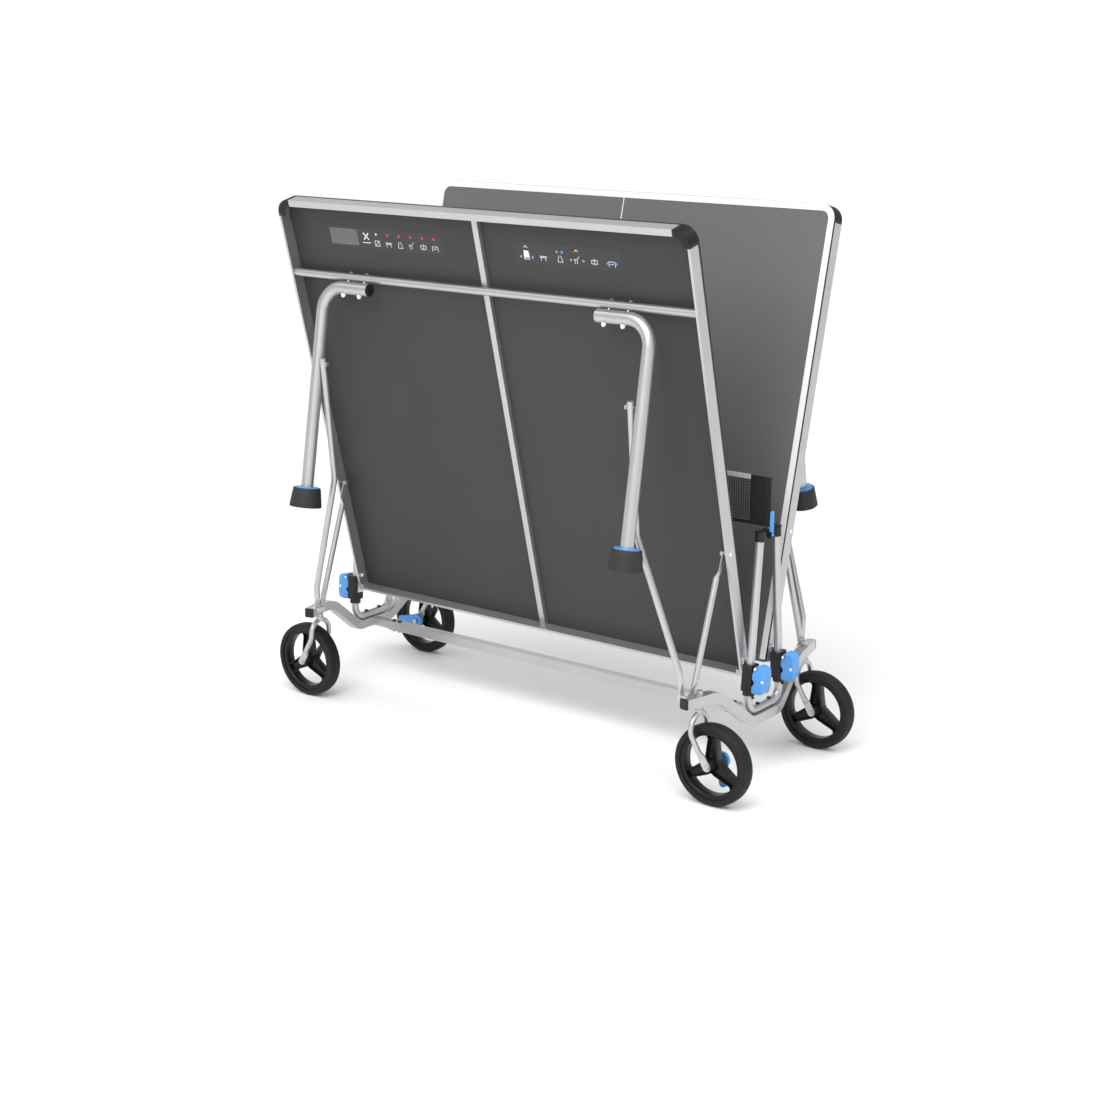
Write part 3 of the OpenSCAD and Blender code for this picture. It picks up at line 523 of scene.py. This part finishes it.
def right_sticker():
    """A strip with a row of drawings, a white panel, two arrow heads and pairs of blue dots."""
    film("right_sticker", 126 * MM, 499 * MM, STICKER)
    columns = [(165 + 60 * k) * MM for k in range(len(TABLES))]
    icons("right_sticker_icons", columns, 1231 * MM)
    bm = bmesh.new()
    slab(bm, (columns[0] - 9 * MM, 1236 * MM, DOT_LOW), (columns[0] + 9 * MM, 1257 * MM, BOARD_T + 0.6 * MM))
    arrow_head = [((-6, 0), (0, 6)), ((0, 6), (6, 0))]
    for x in (columns[0], columns[3]):
        line_art(bm, arrow_head, (x, 1266 * MM, PRINT_DEPTH), MM, width=2 * MM)
    printed("right_sticker_marks", bm, PRINT)
    places = [(columns[k] + way * gap * MM, y * MM) for k, gap, y in BLUE_PAIRS for way in (-1, 1)]
    dots("right_sticker_blue_dots", places, PRINT_BLUE, 4.2 * MM)


# ---- Net -----------------------------------------------------------------------------------------

NET_PITCH = 8 * MM
NET_THREAD = 1.5 * MM
TAPE_H = 14 * MM
HEM_H = 9 * MM
BAND_HALF = 1.3 * MM


def net_mesh(low, high):
    """Threads up and across, evenly spaced, in place of the plain CAD net."""
    half = NET_THREAD / 2
    columns = round((high.x - low.x) / NET_PITCH)
    rows = round((high.z - low.z) / NET_PITCH)
    bm = bmesh.new()
    for k in range(columns + 1):
        x = low.x + half + (high.x - low.x - NET_THREAD) * k / columns
        slab(bm, (x - half, -half, low.z), (x + half, half, high.z))
    for k in range(rows + 1):
        z = low.z + half + (high.z - low.z - NET_THREAD) * k / rows
        slab(bm, (low.x, -half * 0.9, z - half), (high.x, half * 0.9, z + half))
    made = piece("net_mesh_cloth", bm, CORD, "chassis")
    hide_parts("net")
    return made


def net_band(name, low_x, high_x, low_z, high_z, material):
    """A strip of cloth along an edge of the net."""
    bm = bmesh.new()
    slab(bm, (low_x, -BAND_HALF, low_z), (high_x, BAND_HALF, high_z))
    round_edges(bm, 0.5 * MM)
    return piece(name, bm, material, "chassis")


def net():
    low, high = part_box("net")
    mesh = net_mesh(low, high)
    tape = net_band("net_tape", low.x, high.x, high.z - TAPE_H, high.z + 0.4 * MM, TAPE)
    hem = net_band("net_hem", low.x, high.x, low.z - 0.4 * MM, low.z + HEM_H, CLOTH)


# A net sleeve: the radius of its pocket, half the thickness of its flat band, and its rows of points
POCKET_R = 6.4 * MM
SLEEVE_HALF = 1.4 * MM
SLEEVE_ROWS = 14


def sleeve_outline():
    """A sleeve seen from above: round the post, then along the flat band to the net's end."""
    post = JOINTS["right_net_screw"]["pos_m"][0]
    neck = post - 14 * MM
    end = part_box("net")[1].x
    pocket = arc((post, 0), POCKET_R, -150, 150, 22)
    return pocket + [(neck, SLEEVE_HALF), (end, SLEEVE_HALF), (end, -SLEEVE_HALF), (neck, -SLEEVE_HALF)]


def crease(x, y, z):
    """How far the cloth of a sleeve stands out of line."""
    return 0.5 * MM * noise.noise(Vector((x * 40, y * 90, z * 25)))


def net_sleeve(side):
    """A cloth pocket on a post, which ends in a flat band, with slight creases."""
    low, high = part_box("net_sleeves")
    outline = sleeve_outline()
    bm = bmesh.new()
    layers = []
    for k in range(SLEEVE_ROWS + 1):
        z = low.z + (high.z - low.z) * k / SLEEVE_ROWS
        layers.append([bm.verts.new((x * SIDES[side], y + crease(x, y, z), z)) for x, y in outline])
    for lower, upper in zip(layers, layers[1:]):
        for i in range(len(outline)):
            j = (i + 1) % len(outline)
            bm.faces.new((lower[i], lower[j], upper[j], upper[i]))
    bm.faces.new(layers[0])
    bm.faces.new(layers[-1])
    made = piece(side + "_net_sleeve", bm, CLOTH, "chassis", smooth=50)
    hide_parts("net_sleeves")


# ---- Casters -------------------------------------------------------------------------------------

# A wheel: the radii of its tread, tyre's inside and rim, and half the width of each part
WHEEL_R = 123 * MM
TYRE_IN = WHEEL_R - 20 * MM
RIM_R = WHEEL_R - 31 * MM
TYRE_HALF = 23 * MM
RIM_HALF = 18 * MM
HUB_HALF = 31 * MM
WEB_HALF = 5 * MM
LIP_HALF = 14 * MM
SPOKES = 3


def window(hub_r, rim_r, half_spoke, corner):
    """A wheel's opening between two spokes, with round corners, centred on the +Y side of its hub."""
    gap = 180 / SPOKES
    spoke = math.radians(90 - gap)
    along = Vector((math.cos(spoke), math.sin(spoke)))
    across = Vector((-along.y, along.x))
    inner = half_spoke + corner
    far = math.sqrt((rim_r - corner) ** 2 - inner ** 2)
    centre = along * far + across * inner
    turn = math.degrees(math.atan2(centre.y, centre.x))
    near = max(hub_r + corner, inner / math.sin(math.radians(gap)))
    low = Vector((0, near))
    right = arc(centre, corner, -gap, turn, 6)
    rim = arc((0, 0), rim_r, turn, 180 - turn, 18)[1:-1]
    left = [(-x, y) for x, y in reversed(right)]
    bottom = arc(low, corner, 270 - gap, 270 + gap, 8)
    return right + rim + left + bottom


def turned(loop, angle):
    """A loop turned about the origin, by an angle in degrees."""
    c, s = math.cos(math.radians(angle)), math.sin(math.radians(angle))
    return [(x * c - y * s, x * s + y * c) for x, y in loop]


def both_halves(section):
    """A section with its mirror image on the wheel's other side."""
    return section + [(r, -h) for r, h in reversed(section)]


def wheel_frame(name, side):
    return basis(JOINTS[name + "_roll"]["pos_m"], (side, 0, 0), (0, 0, 1), (0, -1, 0))


def wheel(name, side):
    """A moulded wheel: a web with an opening between its spokes, a lip round each, a rim and a hub."""
    angles = [60 + 360 / SPOKES * k for k in range(SPOKES)]
    bm = bmesh.new()
    openings = [turned(window(24 * MM, RIM_R - 2 * MM, 13 * MM, 9 * MM), angle) for angle in angles]
    plate(bm, [arc((0, 0), RIM_R + 1 * MM, 0, 354, 59)] + openings, -WEB_HALF, WEB_HALF, 1 * MM)
    for angle in angles:
        lip = [turned(window(20 * MM, RIM_R + 1 * MM, 10.5 * MM, 11 * MM), angle),
               turned(window(24.5 * MM, RIM_R - 2.5 * MM, 13.5 * MM, 8.5 * MM), angle)]
        plate(bm, lip, -LIP_HALF, LIP_HALF, 0.8 * MM)
    rim = [(RIM_R - 2 * MM, 2 * MM - RIM_HALF), (RIM_R, -RIM_HALF), (TYRE_IN, -RIM_HALF),
           (TYRE_IN, 3 * MM - RIM_HALF), (TYRE_IN - 4 * MM, 5 * MM - RIM_HALF)]
    lathe(bm, both_halves(rim), 96)
    hub = [(5.1 * MM, -HUB_HALF), (11 * MM, -HUB_HALF), (13 * MM, 2 * MM - HUB_HALF), (16 * MM, -16 * MM),
           (20 * MM, -10 * MM)]
    lathe(bm, both_halves(hub), 48)
    place = wheel_frame(name, side)
    made = piece(name + "_wheel_moulding", bm, WHEEL, name + "_wheel", place)
    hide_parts(name + "_wheel")


def tread(name, side):
    """A tyre with flat walls, sloped shoulders and a groove on each side of its crown."""
    wall = [(TYRE_IN + 0.3 * MM, -RIM_HALF), (TYRE_IN + 1 * MM, 1.5 * MM - TYRE_HALF),
            (TYRE_IN + 5 * MM, -TYRE_HALF), (WHEEL_R - 8 * MM, -TYRE_HALF)]
    shoulder = [(WHEEL_R - 7 * MM, 0.8 * MM - TYRE_HALF), (WHEEL_R - 3 * MM, 3 * MM - TYRE_HALF),
                (WHEEL_R - 0.6 * MM, -12 * MM), (WHEEL_R - 0.2 * MM, -6.5 * MM)]
    groove = [(WHEEL_R - 1.6 * MM, -6 * MM), (WHEEL_R - 1.6 * MM, -5 * MM), (WHEEL_R, -4.5 * MM)]
    bm = bmesh.new()
    lathe(bm, both_halves(wall + shoulder + groove), 128)
    place = wheel_frame(name, side)
    made = piece(name + "_tread", bm, TYRE, name + "_wheel", place, smooth=30)
    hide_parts(name + "_tyre")


def brake(name, angle):
    """A foot brake: a ring and a short tube round the axle, and a rounded pedal."""
    low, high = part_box(name)
    centre = JOINTS[name + "_press"]["pos_m"]
    place = basis((centre[0], 0, centre[2]), (1, 0, 0), (0, 0, -1), (0, 1, 0))
    place = place @ Matrix.Rotation(math.radians(angle), 4, "Z")
    ring = arc((0, 0), 24.7 * MM, 140, 400, 28)
    pedal = [(18 * MM, 27 * MM), (17 * MM, 42 * MM)] + arc((6 * MM, 70 * MM), 12.7 * MM, 5, 150, 10)
    pedal += [(-9 * MM, 56 * MM), (-14.5 * MM, 38 * MM)]
    hole = arc((0, 0), 12.5 * MM, 0, 350, 35)
    bore, tube_r = 5.2 * MM, 12.8 * MM
    tube_low, tube_high = low.y + 1 * MM, high.y - 3 * MM
    bm = bmesh.new()
    plate(bm, [ring + pedal, hole], low.y, high.y, 1.6 * MM)
    lathe(bm, [(bore, tube_low), (tube_r, tube_low), (tube_r, tube_high), (bore, tube_high)], 36)
    made = piece(name + "_pedal", bm, BLUE, name, place)
    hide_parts(name)


# ---- Legs and feet -------------------------------------------------------------------------------

# A leg's straight top run, at rest: its radius, where it ends, how far out and how high it is, and its bolts
LEG_R = 19.5 * MM
LEG_END_X = 431 * MM
LEG_RUN_Y = 364 * MM
LEG_RUN_Z = 1393 * MM
LEG_BOLT_X = (461 * MM, 526.5 * MM)


def leg_plugs(end):
    """Caps in the open inner ends of the legs."""
    inside = [(LEG_R - 1.8 * MM, -6 * MM), (LEG_R - 1.8 * MM, 0.6 * MM)]
    head = [(LEG_R, 0.7 * MM), (LEG_R, 2.5 * MM), (LEG_R - 1.5 * MM, 4 * MM), (LEG_R - 5 * MM, 4.4 * MM)]
    bm = bmesh.new()
    for side in SIDES.values():
        tip = (LEG_END_X * side, -LEG_RUN_Y * ENDS[end], LEG_RUN_Z)
        place = basis(tip, (0, 1, 0), (0, 0, 1), (-side, 0, 0))
        lathe(bm, inside + head, 48, closed=False, place=place)
    piece(end + "_leg_plugs", bm, BLACK, end + "_leg_set")


NUT_R = 7.4 * MM
NUT_H = 7 * MM


def leg_nuts(end):
    """Domed nuts under the bolts that hold the legs to their cross tube."""
    cross = Vector(JOINTS[end + "_leg_turn"]["pos_m"])
    leg = Vector((0, -LEG_RUN_Y * ENDS[end], LEG_RUN_Z))
    down = (leg - Vector((0, cross.y, cross.z))).normalized()
    bm = bmesh.new()
    for side in SIDES.values():
        for x in LEG_BOLT_X:
            seat = Vector((x * side, leg.y, leg.z)) + down * (LEG_R + 1 * MM)
            place = basis(seat, (1, 0, 0), down.cross(Vector((1, 0, 0))), down)
            plate(bm, [arc((0, 0), NUT_R, 0, 300, 5)], 0, NUT_H, 0.6 * MM, place)
            domed_head(bm, place @ Matrix.Translation((0, 0, NUT_H)), 5.6 * MM, 4.5 * MM)
    piece(end + "_leg_nuts", bm, BRIGHT, end + "_leg_set")


# A foot, along its leg's axis: where its rubber starts and ends, its bore and its flutes
FOOT_TOP = -27.5 * MM
FOOT_BOTTOM = 32.5 * MM
FOOT_BORE = 19.7 * MM
FLUTES = 9
FLUTE_DEPTH = 0.012


def foot_frame(name):
    """A frame at a foot's joint, with Z down along its axis."""
    joint = JOINTS[name + "_foot_turn"]
    down = Vector(joint["axis"]).normalized()
    across = Vector((1, 0, 0))
    return basis(joint["pos_m"], across, down.cross(across), down)


def fluted(angle, height):
    """Shallow flutes that deepen towards a foot's bottom."""
    share = max(0.0, (height - FOOT_TOP) / (FOOT_BOTTOM - FOOT_TOP))
    return 1 - FLUTE_DEPTH * share * (1 + math.cos(FLUTES * angle)) / 2


def rubber_foot(name):
    """A rubber foot with a raised top edge, a wall that widens downward and a bore right through."""
    top, bottom = FOOT_TOP, FOOT_BOTTOM
    edge = [(FOOT_BORE, top + 6 * MM), (38 * MM, top + 6 * MM), (39 * MM, top + 1 * MM),
            (40 * MM, top - 0.5 * MM), (42 * MM, top - 0.5 * MM), (43 * MM, top + 0.8 * MM)]
    wall = [(46 * MM, -8 * MM), (49 * MM, 14 * MM), (50.9 * MM, bottom - 5 * MM),
            (51 * MM, bottom - 1.5 * MM)]
    sole = [(49.5 * MM, bottom), (46 * MM, bottom), (44 * MM, bottom - 3 * MM), (FOOT_BORE, bottom - 3 * MM)]
    bm = bmesh.new()
    lathe(bm, edge + wall + sole, 108, ripple=fluted)
    place = foot_frame(name)
    made = piece(name + "_rubber_foot", bm, RUBBER, name + "_foot", place, smooth=30)
    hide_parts(name + "_foot")


def foot_ring(name):
    """The blue ring on top of a foot, with two round screw heads."""
    top = FOOT_TOP
    bm = bmesh.new()
    lathe(bm, [(20 * MM, top - 3.6 * MM), (36 * MM, top - 3.6 * MM), (38.6 * MM, top - 2.4 * MM),
               (38.6 * MM, top + 5 * MM), (20 * MM, top + 5 * MM)], 72)
    for turn in (30, 210):
        head = Matrix.Rotation(math.radians(turn), 4, "Z") @ Matrix.Translation((32 * MM, 0, top - 4 * MM))
        domed_head(bm, head @ Matrix.Rotation(math.pi, 4, "X"), 4.5 * MM, 3 * MM)
    piece(name + "_foot_ring", bm, BLUE, name + "_foot", foot_frame(name))


# ---- Locks ---------------------------------------------------------------------------------------

LOCK_HALF_Y = 19 * MM
LOCK_WALL = 4 * MM
LOCK_PIN_R = 4.2 * MM
GRIP_RIBS = (-18, -30, -42)
LOCK_RIVETS = ((0, 0, 2.6 * MM), (25 * MM, -35 * MM, 0))

# A lock's side view in millimetres, from its pin. The cheek and the spine share the outer edge
LOCK_EDGE = [(2, 9), (18, 9), (28, 4), (32, -8), (32.3, -30), (32, -56), (27, -70), (14, -75)]
CHEEK = LOCK_EDGE + [(-3, -74.5), (-9.5, -69), (-9.5, -55), (-4, -47), (-3.5, -39), (-9, -32), (-10, -20),
                     (-7.5, -8), (-6, 3)]
SPINE = LOCK_EDGE + [(0, -75), (0, -71), (13, -71), (23, -66.5), (28, -55), (28.3, -30), (28, -9), (25, 0),
                     (17, 4.6), (2, 5)]


def lock_frame(name, side):
    """A frame at a lock's pin: X outward, Y up and Z along the pin."""
    joint = JOINTS[name + "_lift"]
    along = Vector(joint["axis"]).normalized()
    along = along if along.y > 0 else -along
    up = Vector((0, -along.z, along.y))
    return basis(joint["pos_m"], (SIDES[side], 0, 0), up, along)


def lock_handle(name, place):
    """Two cheeks joined by a bent spine, with ribs for the fingers."""
    cheek = smooth_loop(CHEEK)
    pin = arc((0, 0), LOCK_PIN_R, 0, 345, 23)
    spine = [(x * MM, y * MM) for x, y in SPINE]
    bm = bmesh.new()
    plate(bm, [cheek, pin], LOCK_HALF_Y - LOCK_WALL, LOCK_HALF_Y, 0.9 * MM, place)
    plate(bm, [cheek, pin], -LOCK_HALF_Y, LOCK_WALL - LOCK_HALF_Y, 0.9 * MM, place)
    plate(bm, [spine], 0.5 * MM - LOCK_HALF_Y, LOCK_HALF_Y - 0.5 * MM, 0.3 * MM, place)
    for y in GRIP_RIBS:
        top = arc((31 * MM, (y + 2) * MM), 1.6 * MM, 0, 180, 5)
        bottom = arc((31 * MM, (y - 2) * MM), 1.6 * MM, 180, 360, 5)
        plate(bm, [top + bottom], -12 * MM, 12 * MM, 0.6 * MM, place)
    made = piece(name + "_handle", bm, BLUE, name)
    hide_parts(name)


def lock(end, side):
    """A lock's handle and the rivet heads on both its sides."""
    name = end + "_" + side + "_lock"
    place = lock_frame(name, side)
    lock_handle(name, place)
    bm = bmesh.new()
    for x, y, lift in LOCK_RIVETS:
        for way in (1, -1):
            seat = place @ basis((x, y, way * (LOCK_HALF_Y + lift)), (1, 0, 0), (0, way, 0), (0, 0, way))
            domed_head(bm, seat, 4.8 * MM, 2 * MM)
    piece(name + "_rivets", bm, BRIGHT, name)


# ---- Caps, levers and studs on the uprights --------------------------------------------------------

# An upright: its place across the table, its top's distance from the middle and height, its lean and radius
UP_X = 785 * MM
UP_TOP = (44 * MM, 744 * MM)
UP_LEAN = math.radians(5.035)
UP_R = 12.5 * MM


def upright_frame(side, end, y, z):
    """A frame on an upright's axis: X outward and Z up along the tube."""
    away = -1 if end == "front" else 1
    up = Vector((0, -away * math.sin(UP_LEAN), math.cos(UP_LEAN)))
    return basis((UP_X * SIDES[side], away * y, z), (SIDES[side], 0, 0), up.cross(Vector((1, 0, 0))), up)


# The heights of the bridge between an upright's two caps, and of the wing on top of it
BRIDGE_LOW = 737 * MM
BRIDGE_HIGH = 756 * MM
WING_LOW = 757.5 * MM
WING_HIGH = 761 * MM
WING = [(-12, -58), (0, -61), (12, -58), (13, -44), (7, -28), (5, -11), (5, 11), (7, 28), (13, 44), (12, 58),
        (0, 61), (-12, 58), (-14, 44), (-9, 26), (-9, -26), (-14, -44)]


def cap_sleeve(bm, place):
    """A cap over one upright's top, with a bead round it and a thick end."""
    bore = UP_R + 0.2 * MM
    outside = [(bore, -14 * MM), (15 * MM, -14 * MM), (15.6 * MM, -12.5 * MM), (15.6 * MM, 9 * MM)]
    bead = [(15.9 * MM, 10 * MM), (15.9 * MM, 12.5 * MM), (14.5 * MM, 14 * MM), (0.5 * MM, 14.5 * MM)]
    lathe(bm, outside + bead + [(0.5 * MM, 0.5 * MM), (bore, 0.5 * MM)], 56, place=place)


def cap_bridge(place):
    """Two blocks between the caps, and two cheeks for the net's lever."""
    bm = bmesh.new()
    for low_y, high_y in ((-31, -4.6), (4.6, 31)):
        slab(bm, (-7 * MM, low_y * MM, BRIDGE_LOW), (7 * MM, high_y * MM, BRIDGE_HIGH))
    for low_y, high_y in ((-10.4, -7.4), (7.4, 10.4)):
        slab(bm, (5.5 * MM, low_y * MM, BRIDGE_LOW - 3 * MM), (17.6 * MM, high_y * MM, BRIDGE_HIGH - 3 * MM))
    round_edges(bm, 1.2 * MM)
    bm.transform(place)
    return bm


def post_cap(side):
    """Two sleeves over the uprights' tops, with a bridge, a boss and a wing between them."""
    bm = bmesh.new()
    for end in ENDS:
        cap_sleeve(bm, upright_frame(side, end, *UP_TOP))
    place = basis((UP_X * SIDES[side], 0, 0), (SIDES[side], 0, 0), (0, 1, 0), (0, 0, 1))
    merge(bm, cap_bridge(place))
    hole = arc((0, 0), 4.3 * MM, 0, 345, 23)
    boss = arc((0, 0), 9 * MM, 0, 350, 35)
    plate(bm, [boss, hole], BRIDGE_LOW - 2 * MM, WING_LOW, 0.6 * MM, place)
    plate(bm, [smooth_loop(WING), hole], WING_LOW, WING_HIGH, 0.8 * MM, place)
    made = piece(side + "_post_cap", bm, BLACK, "chassis")
    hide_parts("post_caps")


# A net lever's ridged outer face: its length, the height and spacing of its ridges, and its points
LEVER_RUN = 67 * MM
LEVER_STEPS = 56
RIDGE_PITCH = 8.5 * MM
RIDGE_HEIGHT = 1.1 * MM
LEVER_HALF = 6.9 * MM


def net_lever(side):
    """A lever that turns about its root, ridged along its outer face."""
    name = side + "_net_lever"
    sign = SIDES[side]
    place = basis(JOINTS[side + "_net_clamp"]["pos_m"], (sign, 0, 0), (0, 0, 1), (0, -sign, 0))
    ridged = []
    for k in range(LEVER_STEPS + 1):
        y = 2 * MM + LEVER_RUN * k / LEVER_STEPS
        ridged.append((3.3 * MM + RIDGE_HEIGHT * math.sin(2 * math.pi * y / RIDGE_PITCH), y))
    tip = arc((0.1 * MM, 68 * MM), 3.4 * MM, 20, 180, 8)
    root = arc((0, 0), 4.8 * MM, 190, 350, 10)
    pin = arc((0, 0), 2.6 * MM, 0, 330, 11)
    bm = bmesh.new()
    plate(bm, [root + ridged + tip, pin], -LEVER_HALF, LEVER_HALF, 0.8 * MM, place)
    made = piece(name + "_ridged", bm, BLUE, name)
    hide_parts(name)


# A stud's distance from the middle of the table and its height
STUD_PLACE = (84 * MM, 266 * MM)


def studs(side):
    """Black bolt heads on the outer side of the uprights, near their feet."""
    bm = bmesh.new()
    for end in ENDS:
        near_foot = upright_frame(side, end, *STUD_PLACE)
        seat = near_foot @ basis((UP_R - 0.5 * MM, 0, 0), (0, 1, 0), (0, 0, 1), (1, 0, 0))
        domed_head(bm, seat, 4.5 * MM, 7 * MM)
    piece(side + "_upright_studs", bm, BLACK_STEEL, "chassis")


# ---- Floor, light and camera ---------------------------------------------------------------------

def floor():
    material = finish_of("floor_paint", (0.9, 0.9, 0.9), 0.75, vary=0.005, mottle=0.5, grain=40.0, bump=0.02)
    bpy.ops.mesh.primitive_plane_add(size=120, location=(0, 0, -0.0005))
    plane = bpy.context.object
    plane.name = "floor"
    plane.data.materials.append(material)


def aimed(name, data, place, direction):
    """Puts a lamp or a camera at a place, looking in a direction."""
    holder = bpy.data.objects.new(name, data)
    holder.location = place
    holder.rotation_mode = "QUATERNION"
    holder.rotation_quaternion = direction.to_track_quat("-Z", "Y")
    bpy.context.scene.collection.objects.link(holder)
    return holder


# Both lights are aimed at the middle of the table
LIT_POINT = Vector((0, 0, 0.8))


def light(name, place, size, power):
    lamp = bpy.data.lights.new(name, "AREA")
    lamp.shape = "DISK"
    lamp.size = size
    lamp.energy = power
    aimed(name, lamp, place, LIT_POINT - Vector(place))


# Directions in the world: to the right in the camera's view, and to the dark patch
ACROSS_VIEW = (0.794, 0.607, 0)
DARK_PATCH = (-0.35, 0.45, 0.82)


def facing(tree, direction, way):
    """How nearly a direction points one way: 1 when it does, and 0 at right angles to it."""
    dot = node_of(tree, "ShaderNodeVectorMath", operation="DOT_PRODUCT")
    dot.inputs[1].default_value = way
    tree.links.new(direction, dot.inputs[0])
    return dot.outputs["Value"]


def surroundings():
    """Bright above, in front and behind, and darker at both sides and in one high patch behind the table."""
    world = bpy.data.worlds.new("studio")
    world.use_nodes = True
    tree = world.node_tree
    direction = node_of(tree, "ShaderNodeTexCoord").outputs["Generated"]
    height = node_of(tree, "ShaderNodeSeparateXYZ")
    tree.links.new(direction, height.inputs[0])
    across = math_of(tree, "ABSOLUTE", facing(tree, direction, ACROSS_VIEW))
    sides = spread(tree, across, (0.3, 0.85), (1.0, 0.5), "SMOOTHSTEP")
    above = spread(tree, height.outputs["Z"], (0.25, 0.8), (0.0, 1.65), "SMOOTHSTEP")
    patch = spread(tree, facing(tree, direction, DARK_PATCH), (0.78, 0.95), (1.1, 0.3), "SMOOTHSTEP")
    strength = math_of(tree, "MULTIPLY", math_of(tree, "MAXIMUM", sides, above), patch)
    background = tree.nodes["Background"]
    background.inputs["Color"].default_value = (1, 1, 1, 1)
    tree.links.new(strength, background.inputs["Strength"])
    bpy.context.scene.world = world


def studio():
    surroundings()
    light("key", (1.0, -5.5, 4.5), 3.0, 120)
    light("top", (1.5, -2.5, 5.5), 3.5, 90)
    bpy.context.scene.view_settings.view_transform = "Standard"


CAMERA_AZIMUTH = math.radians(37.45)
CAMERA_ELEVATION = math.radians(15.05)
CAMERA_DISTANCE = 6.2965
CAMERA_TARGET = Vector((-0.01535, 0, 0.5642))
CAMERA_LENS = 64.95
CAMERA_SENSOR = 36


def camera():
    """The camera, which looks at the table from the photo's angle."""
    level = math.cos(CAMERA_ELEVATION)
    back = Vector((math.sin(CAMERA_AZIMUTH) * level, -math.cos(CAMERA_AZIMUTH) * level,
                   math.sin(CAMERA_ELEVATION)))
    data = bpy.data.cameras.new("camera")
    data.lens = CAMERA_LENS
    data.sensor_width = CAMERA_SENSOR
    data.clip_end = 200
    bpy.context.scene.camera = aimed("camera", data, CAMERA_TARGET + back * CAMERA_DISTANCE, -back)


# ---- The scene -----------------------------------------------------------------------------------

def finish_cad_nodes():
    """Gives every CAD node the finish of its material slot."""
    for row in frame["record"]["subparts"]:
        mesh = frame["nodes"][row["node"]].data
        mesh.materials.clear()
        mesh.materials.append(FINISHES[row["material_slot"]])


camera()
studio()
floor()
finish_cad_nodes()
for end in ENDS:
    playing_face(end)
    corner_backs(end)
    leg_nuts(end)
    rim_bolts(end)
    pivot_bolts(end)
    leg_plugs(end)
    for side, sign in SIDES.items():
        corner = end + "_" + side
        rubber_foot(corner)
        foot_ring(corner)
        lock(end, side)
        wheel(corner, sign)
        tread(corner, sign)
for side in SIDES:
    post_cap(side)
    net_lever(side)
    studs(side)
left_sticker()
right_sticker()
net()
for side in SIDES:
    net_sleeve(side)
brake("front_brake", 0)
brake("rear_brake", 90)
